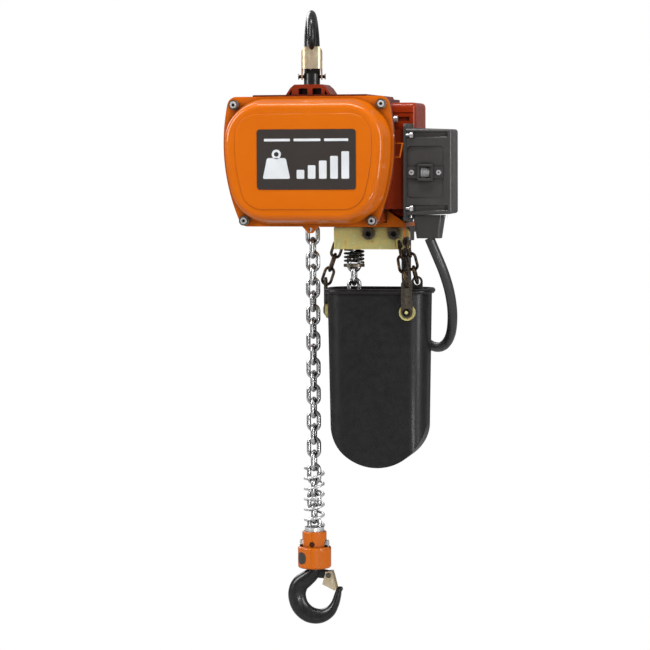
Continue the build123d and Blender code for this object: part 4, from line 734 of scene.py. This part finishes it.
def bucket_bead():
    """The rolled lip round the bucket's mouth."""
    low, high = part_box("chain_bucket")
    inset = BEAD_RADIUS * BEAD_INSET
    mouth = box_corners(low.x + inset, low.y + inset, high.x - inset, high.y - inset)
    path = rounded(mouth, MOUTH_CORNER, 14)
    turns = 16
    bm = bmesh.new()
    rings = []
    for k, (x, y) in enumerate(path):
        ahead = (path[(k + 1) % len(path)] - path[k - 1]).normalized()
        middle, out = Vector((x, y, high.z - BEAD_RADIUS)), Vector((ahead.y, -ahead.x, 0))
        ring = []
        for step in range(turns):
            turn = 2 * math.pi * step / turns
            rise = Vector((0, 0, BEAD_RADIUS * math.sin(turn)))
            ring.append(bm.verts.new(middle + out * BEAD_RADIUS * math.cos(turn) + rise))
        rings.append(ring)
    for k in range(len(rings)):
        a, b = rings[k], rings[(k + 1) % len(rings)]
        for step in range(turns):
            n = (step + 1) % turns
            bm.faces.new((a[step], a[n], b[n], b[step]))
    bmesh.ops.recalc_face_normals(bm, faces=bm.faces)
    piece("bucket_bead", finished("bucket_bead", bm, 60), "bucket", "bucket")


# ---------------------------------------------------------------- cable

CABLE_DIAMETER = 0.014
# the lead's route in mm: down from the gland under the control box and up into the rear one
CABLE_ROUTE_MM = [
    (178, -56, -279), (187, -54, -301), (197, -47, -327), (204, -34, -358), (204.5, -14, -391),
    (197, 12, -423), (179, 40, -441), (154, 63, -437), (134, 76, -411), (125, 77, -374),
    (123, 69, -340), (125, 59, -311), (126, 54, -286),
]


def power_cable():
    """The lead from the control box down behind the bucket and up into the rear gland."""
    curve = bpy.data.curves.new("power_lead", "CURVE")
    curve.dimensions = "3D"
    curve.resolution_u = 24
    curve.bevel_depth = CABLE_DIAMETER / 2
    curve.bevel_resolution = 8
    curve.use_fill_caps = True
    spline = curve.splines.new("NURBS")
    spline.points.add(len(CABLE_ROUTE_MM) - 1)
    for point, place in zip(spline.points, CABLE_ROUTE_MM):
        point.co = (*[c * MM for c in place], 1)
    spline.order_u = 3
    spline.use_endpoint_u = True
    curve.materials.append(FINISH["cable"])
    obj = bpy.data.objects.new("power_lead", curve)
    bpy.context.scene.collection.objects.link(obj)
    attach(obj, "body")
    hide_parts("power_cable")


# ---------------------------------------------------------------- stage

SKY_BELOW, SKY_ABOVE = 0.04, 0.34
LIT_POINT = Vector((0.03, 0, -0.35))
# name, place, width and height in metres, power in watts
SOFTBOXES = [
    ("key", (-2.2, -1.5, 0.8), (0.8, 1.9), 64),
    ("fill", (2.4, -1.3, 0.2), (0.8, 2.0), 48),
    ("overhead", (0.0, -0.7, 1.7), (1.5, 0.25), 34),
    ("rear", (-1.6, 2.0, 0.9), (1.2, 1.6), 26),
    ("low", (1.3, -2.6, -1.0), (0.9, 0.12), 10),
]


def camera():
    """The photo's view: a long lens, slightly to the right of the front and slightly above."""
    data = bpy.data.cameras.new("camera")
    data.lens = CAMERA_LENS
    data.sensor_width = 36
    data.clip_end = 100
    obj = bpy.data.objects.new("camera", data)
    bpy.context.scene.collection.objects.link(obj)
    away = Vector((math.sin(FRONT_AZIMUTH) * math.cos(CAMERA_RISE),
                   -math.cos(FRONT_AZIMUTH) * math.cos(CAMERA_RISE), math.sin(CAMERA_RISE)))
    obj.location = CAMERA_AIM + away * CAMERA_DISTANCE
    turn = away.to_track_quat("Z", "Y").to_matrix() @ Matrix.Rotation(CAMERA_ROLL, 3, "Z")
    obj.rotation_euler = turn.to_euler()
    bpy.context.scene.camera = obj


def seen_white(tree, lit_shader, target, white_type):
    """Plain white where the camera sees it directly, the given shader for the light that it sends."""
    white = tree.nodes.new(white_type)
    white.inputs["Color"].default_value = (1, 1, 1, 1)
    path = tree.nodes.new("ShaderNodeLightPath")
    mix = tree.nodes.new("ShaderNodeMixShader")
    tree.links.new(path.outputs["Is Camera Ray"], mix.inputs["Fac"])
    tree.links.new(lit_shader, mix.inputs[1])
    tree.links.new(white.outputs[0], mix.inputs[2])
    tree.links.new(mix.outputs["Shader"], target)


def floor():
    """A wide pale floor under the hanging hoist, which the camera sees as plain white."""
    mesh = bpy.data.meshes.new("floor")
    bm = bmesh.new()
    bmesh.ops.create_circle(bm, cap_ends=True, segments=96, radius=FLOOR_RADIUS)
    bm.to_mesh(mesh)
    obj = bpy.data.objects.new("floor", mesh)
    bpy.context.scene.collection.objects.link(obj)
    obj.location.z = CAD_BOX[0][2] - FLOOR_DROP
    s = Shader("pale_floor", (0.4, 0.4, 0.4), 0.8)
    s.color(s.mix(s.noise(0.4, 3), (0.38, 0.38, 0.38), (0.42, 0.42, 0.42)))
    mesh.materials.append(s.material)
    seen_white(s.tree, s.bsdf.outputs["BSDF"], s.tree.nodes["Material Output"].inputs["Surface"],
               "ShaderNodeEmission")


def softbox(name, place, size, power):
    """An area light of a size in metres and a power in watts, turned towards the hoist."""
    data = bpy.data.lights.new(name, "AREA")
    data.shape = "RECTANGLE"
    data.size, data.size_y = size
    data.energy = power
    obj = bpy.data.objects.new(name, data)
    bpy.context.scene.collection.objects.link(obj)
    obj.location = place
    obj.rotation_euler = (Vector(place) - LIT_POINT).to_track_quat("Z", "Y").to_euler()


def studio():
    """Soft light from all round, brighter above, and the softboxes."""
    world = bpy.data.worlds.new("studio")
    world.use_nodes = True
    tree = world.node_tree
    sky = tree.nodes["Background"]
    place = tree.nodes.new("ShaderNodeTexCoord")
    parts = tree.nodes.new("ShaderNodeSeparateXYZ")
    ramp = tree.nodes.new("ShaderNodeValToRGB")
    height = tree.nodes.new("ShaderNodeMapRange")
    height.inputs["From Min"].default_value = -1
    tree.links.new(place.outputs["Generated"], parts.inputs["Vector"])
    tree.links.new(parts.outputs["Z"], height.inputs["Value"])
    tree.links.new(height.outputs["Result"], ramp.inputs["Fac"])
    for element, level in zip(ramp.color_ramp.elements, (SKY_BELOW, SKY_ABOVE)):
        element.color = (level, level, level, 1)
    tree.links.new(ramp.outputs["Color"], sky.inputs["Color"])
    surface = tree.nodes["World Output"].inputs["Surface"]
    seen_white(tree, sky.outputs["Background"], surface, "ShaderNodeBackground")
    bpy.context.scene.world = world
    for name, place, size, power in SOFTBOXES:
        softbox(name, place, size, power)
    bpy.context.scene.view_settings.view_transform = "Standard"


# ---------------------------------------------------------------- build

paint_nodes()
plate_print()
counter()
screw_heads()
strap_eyes()
lower_hook()
block_patch()
bucket_bead()
power_cable()
camera()
floor()
studio()
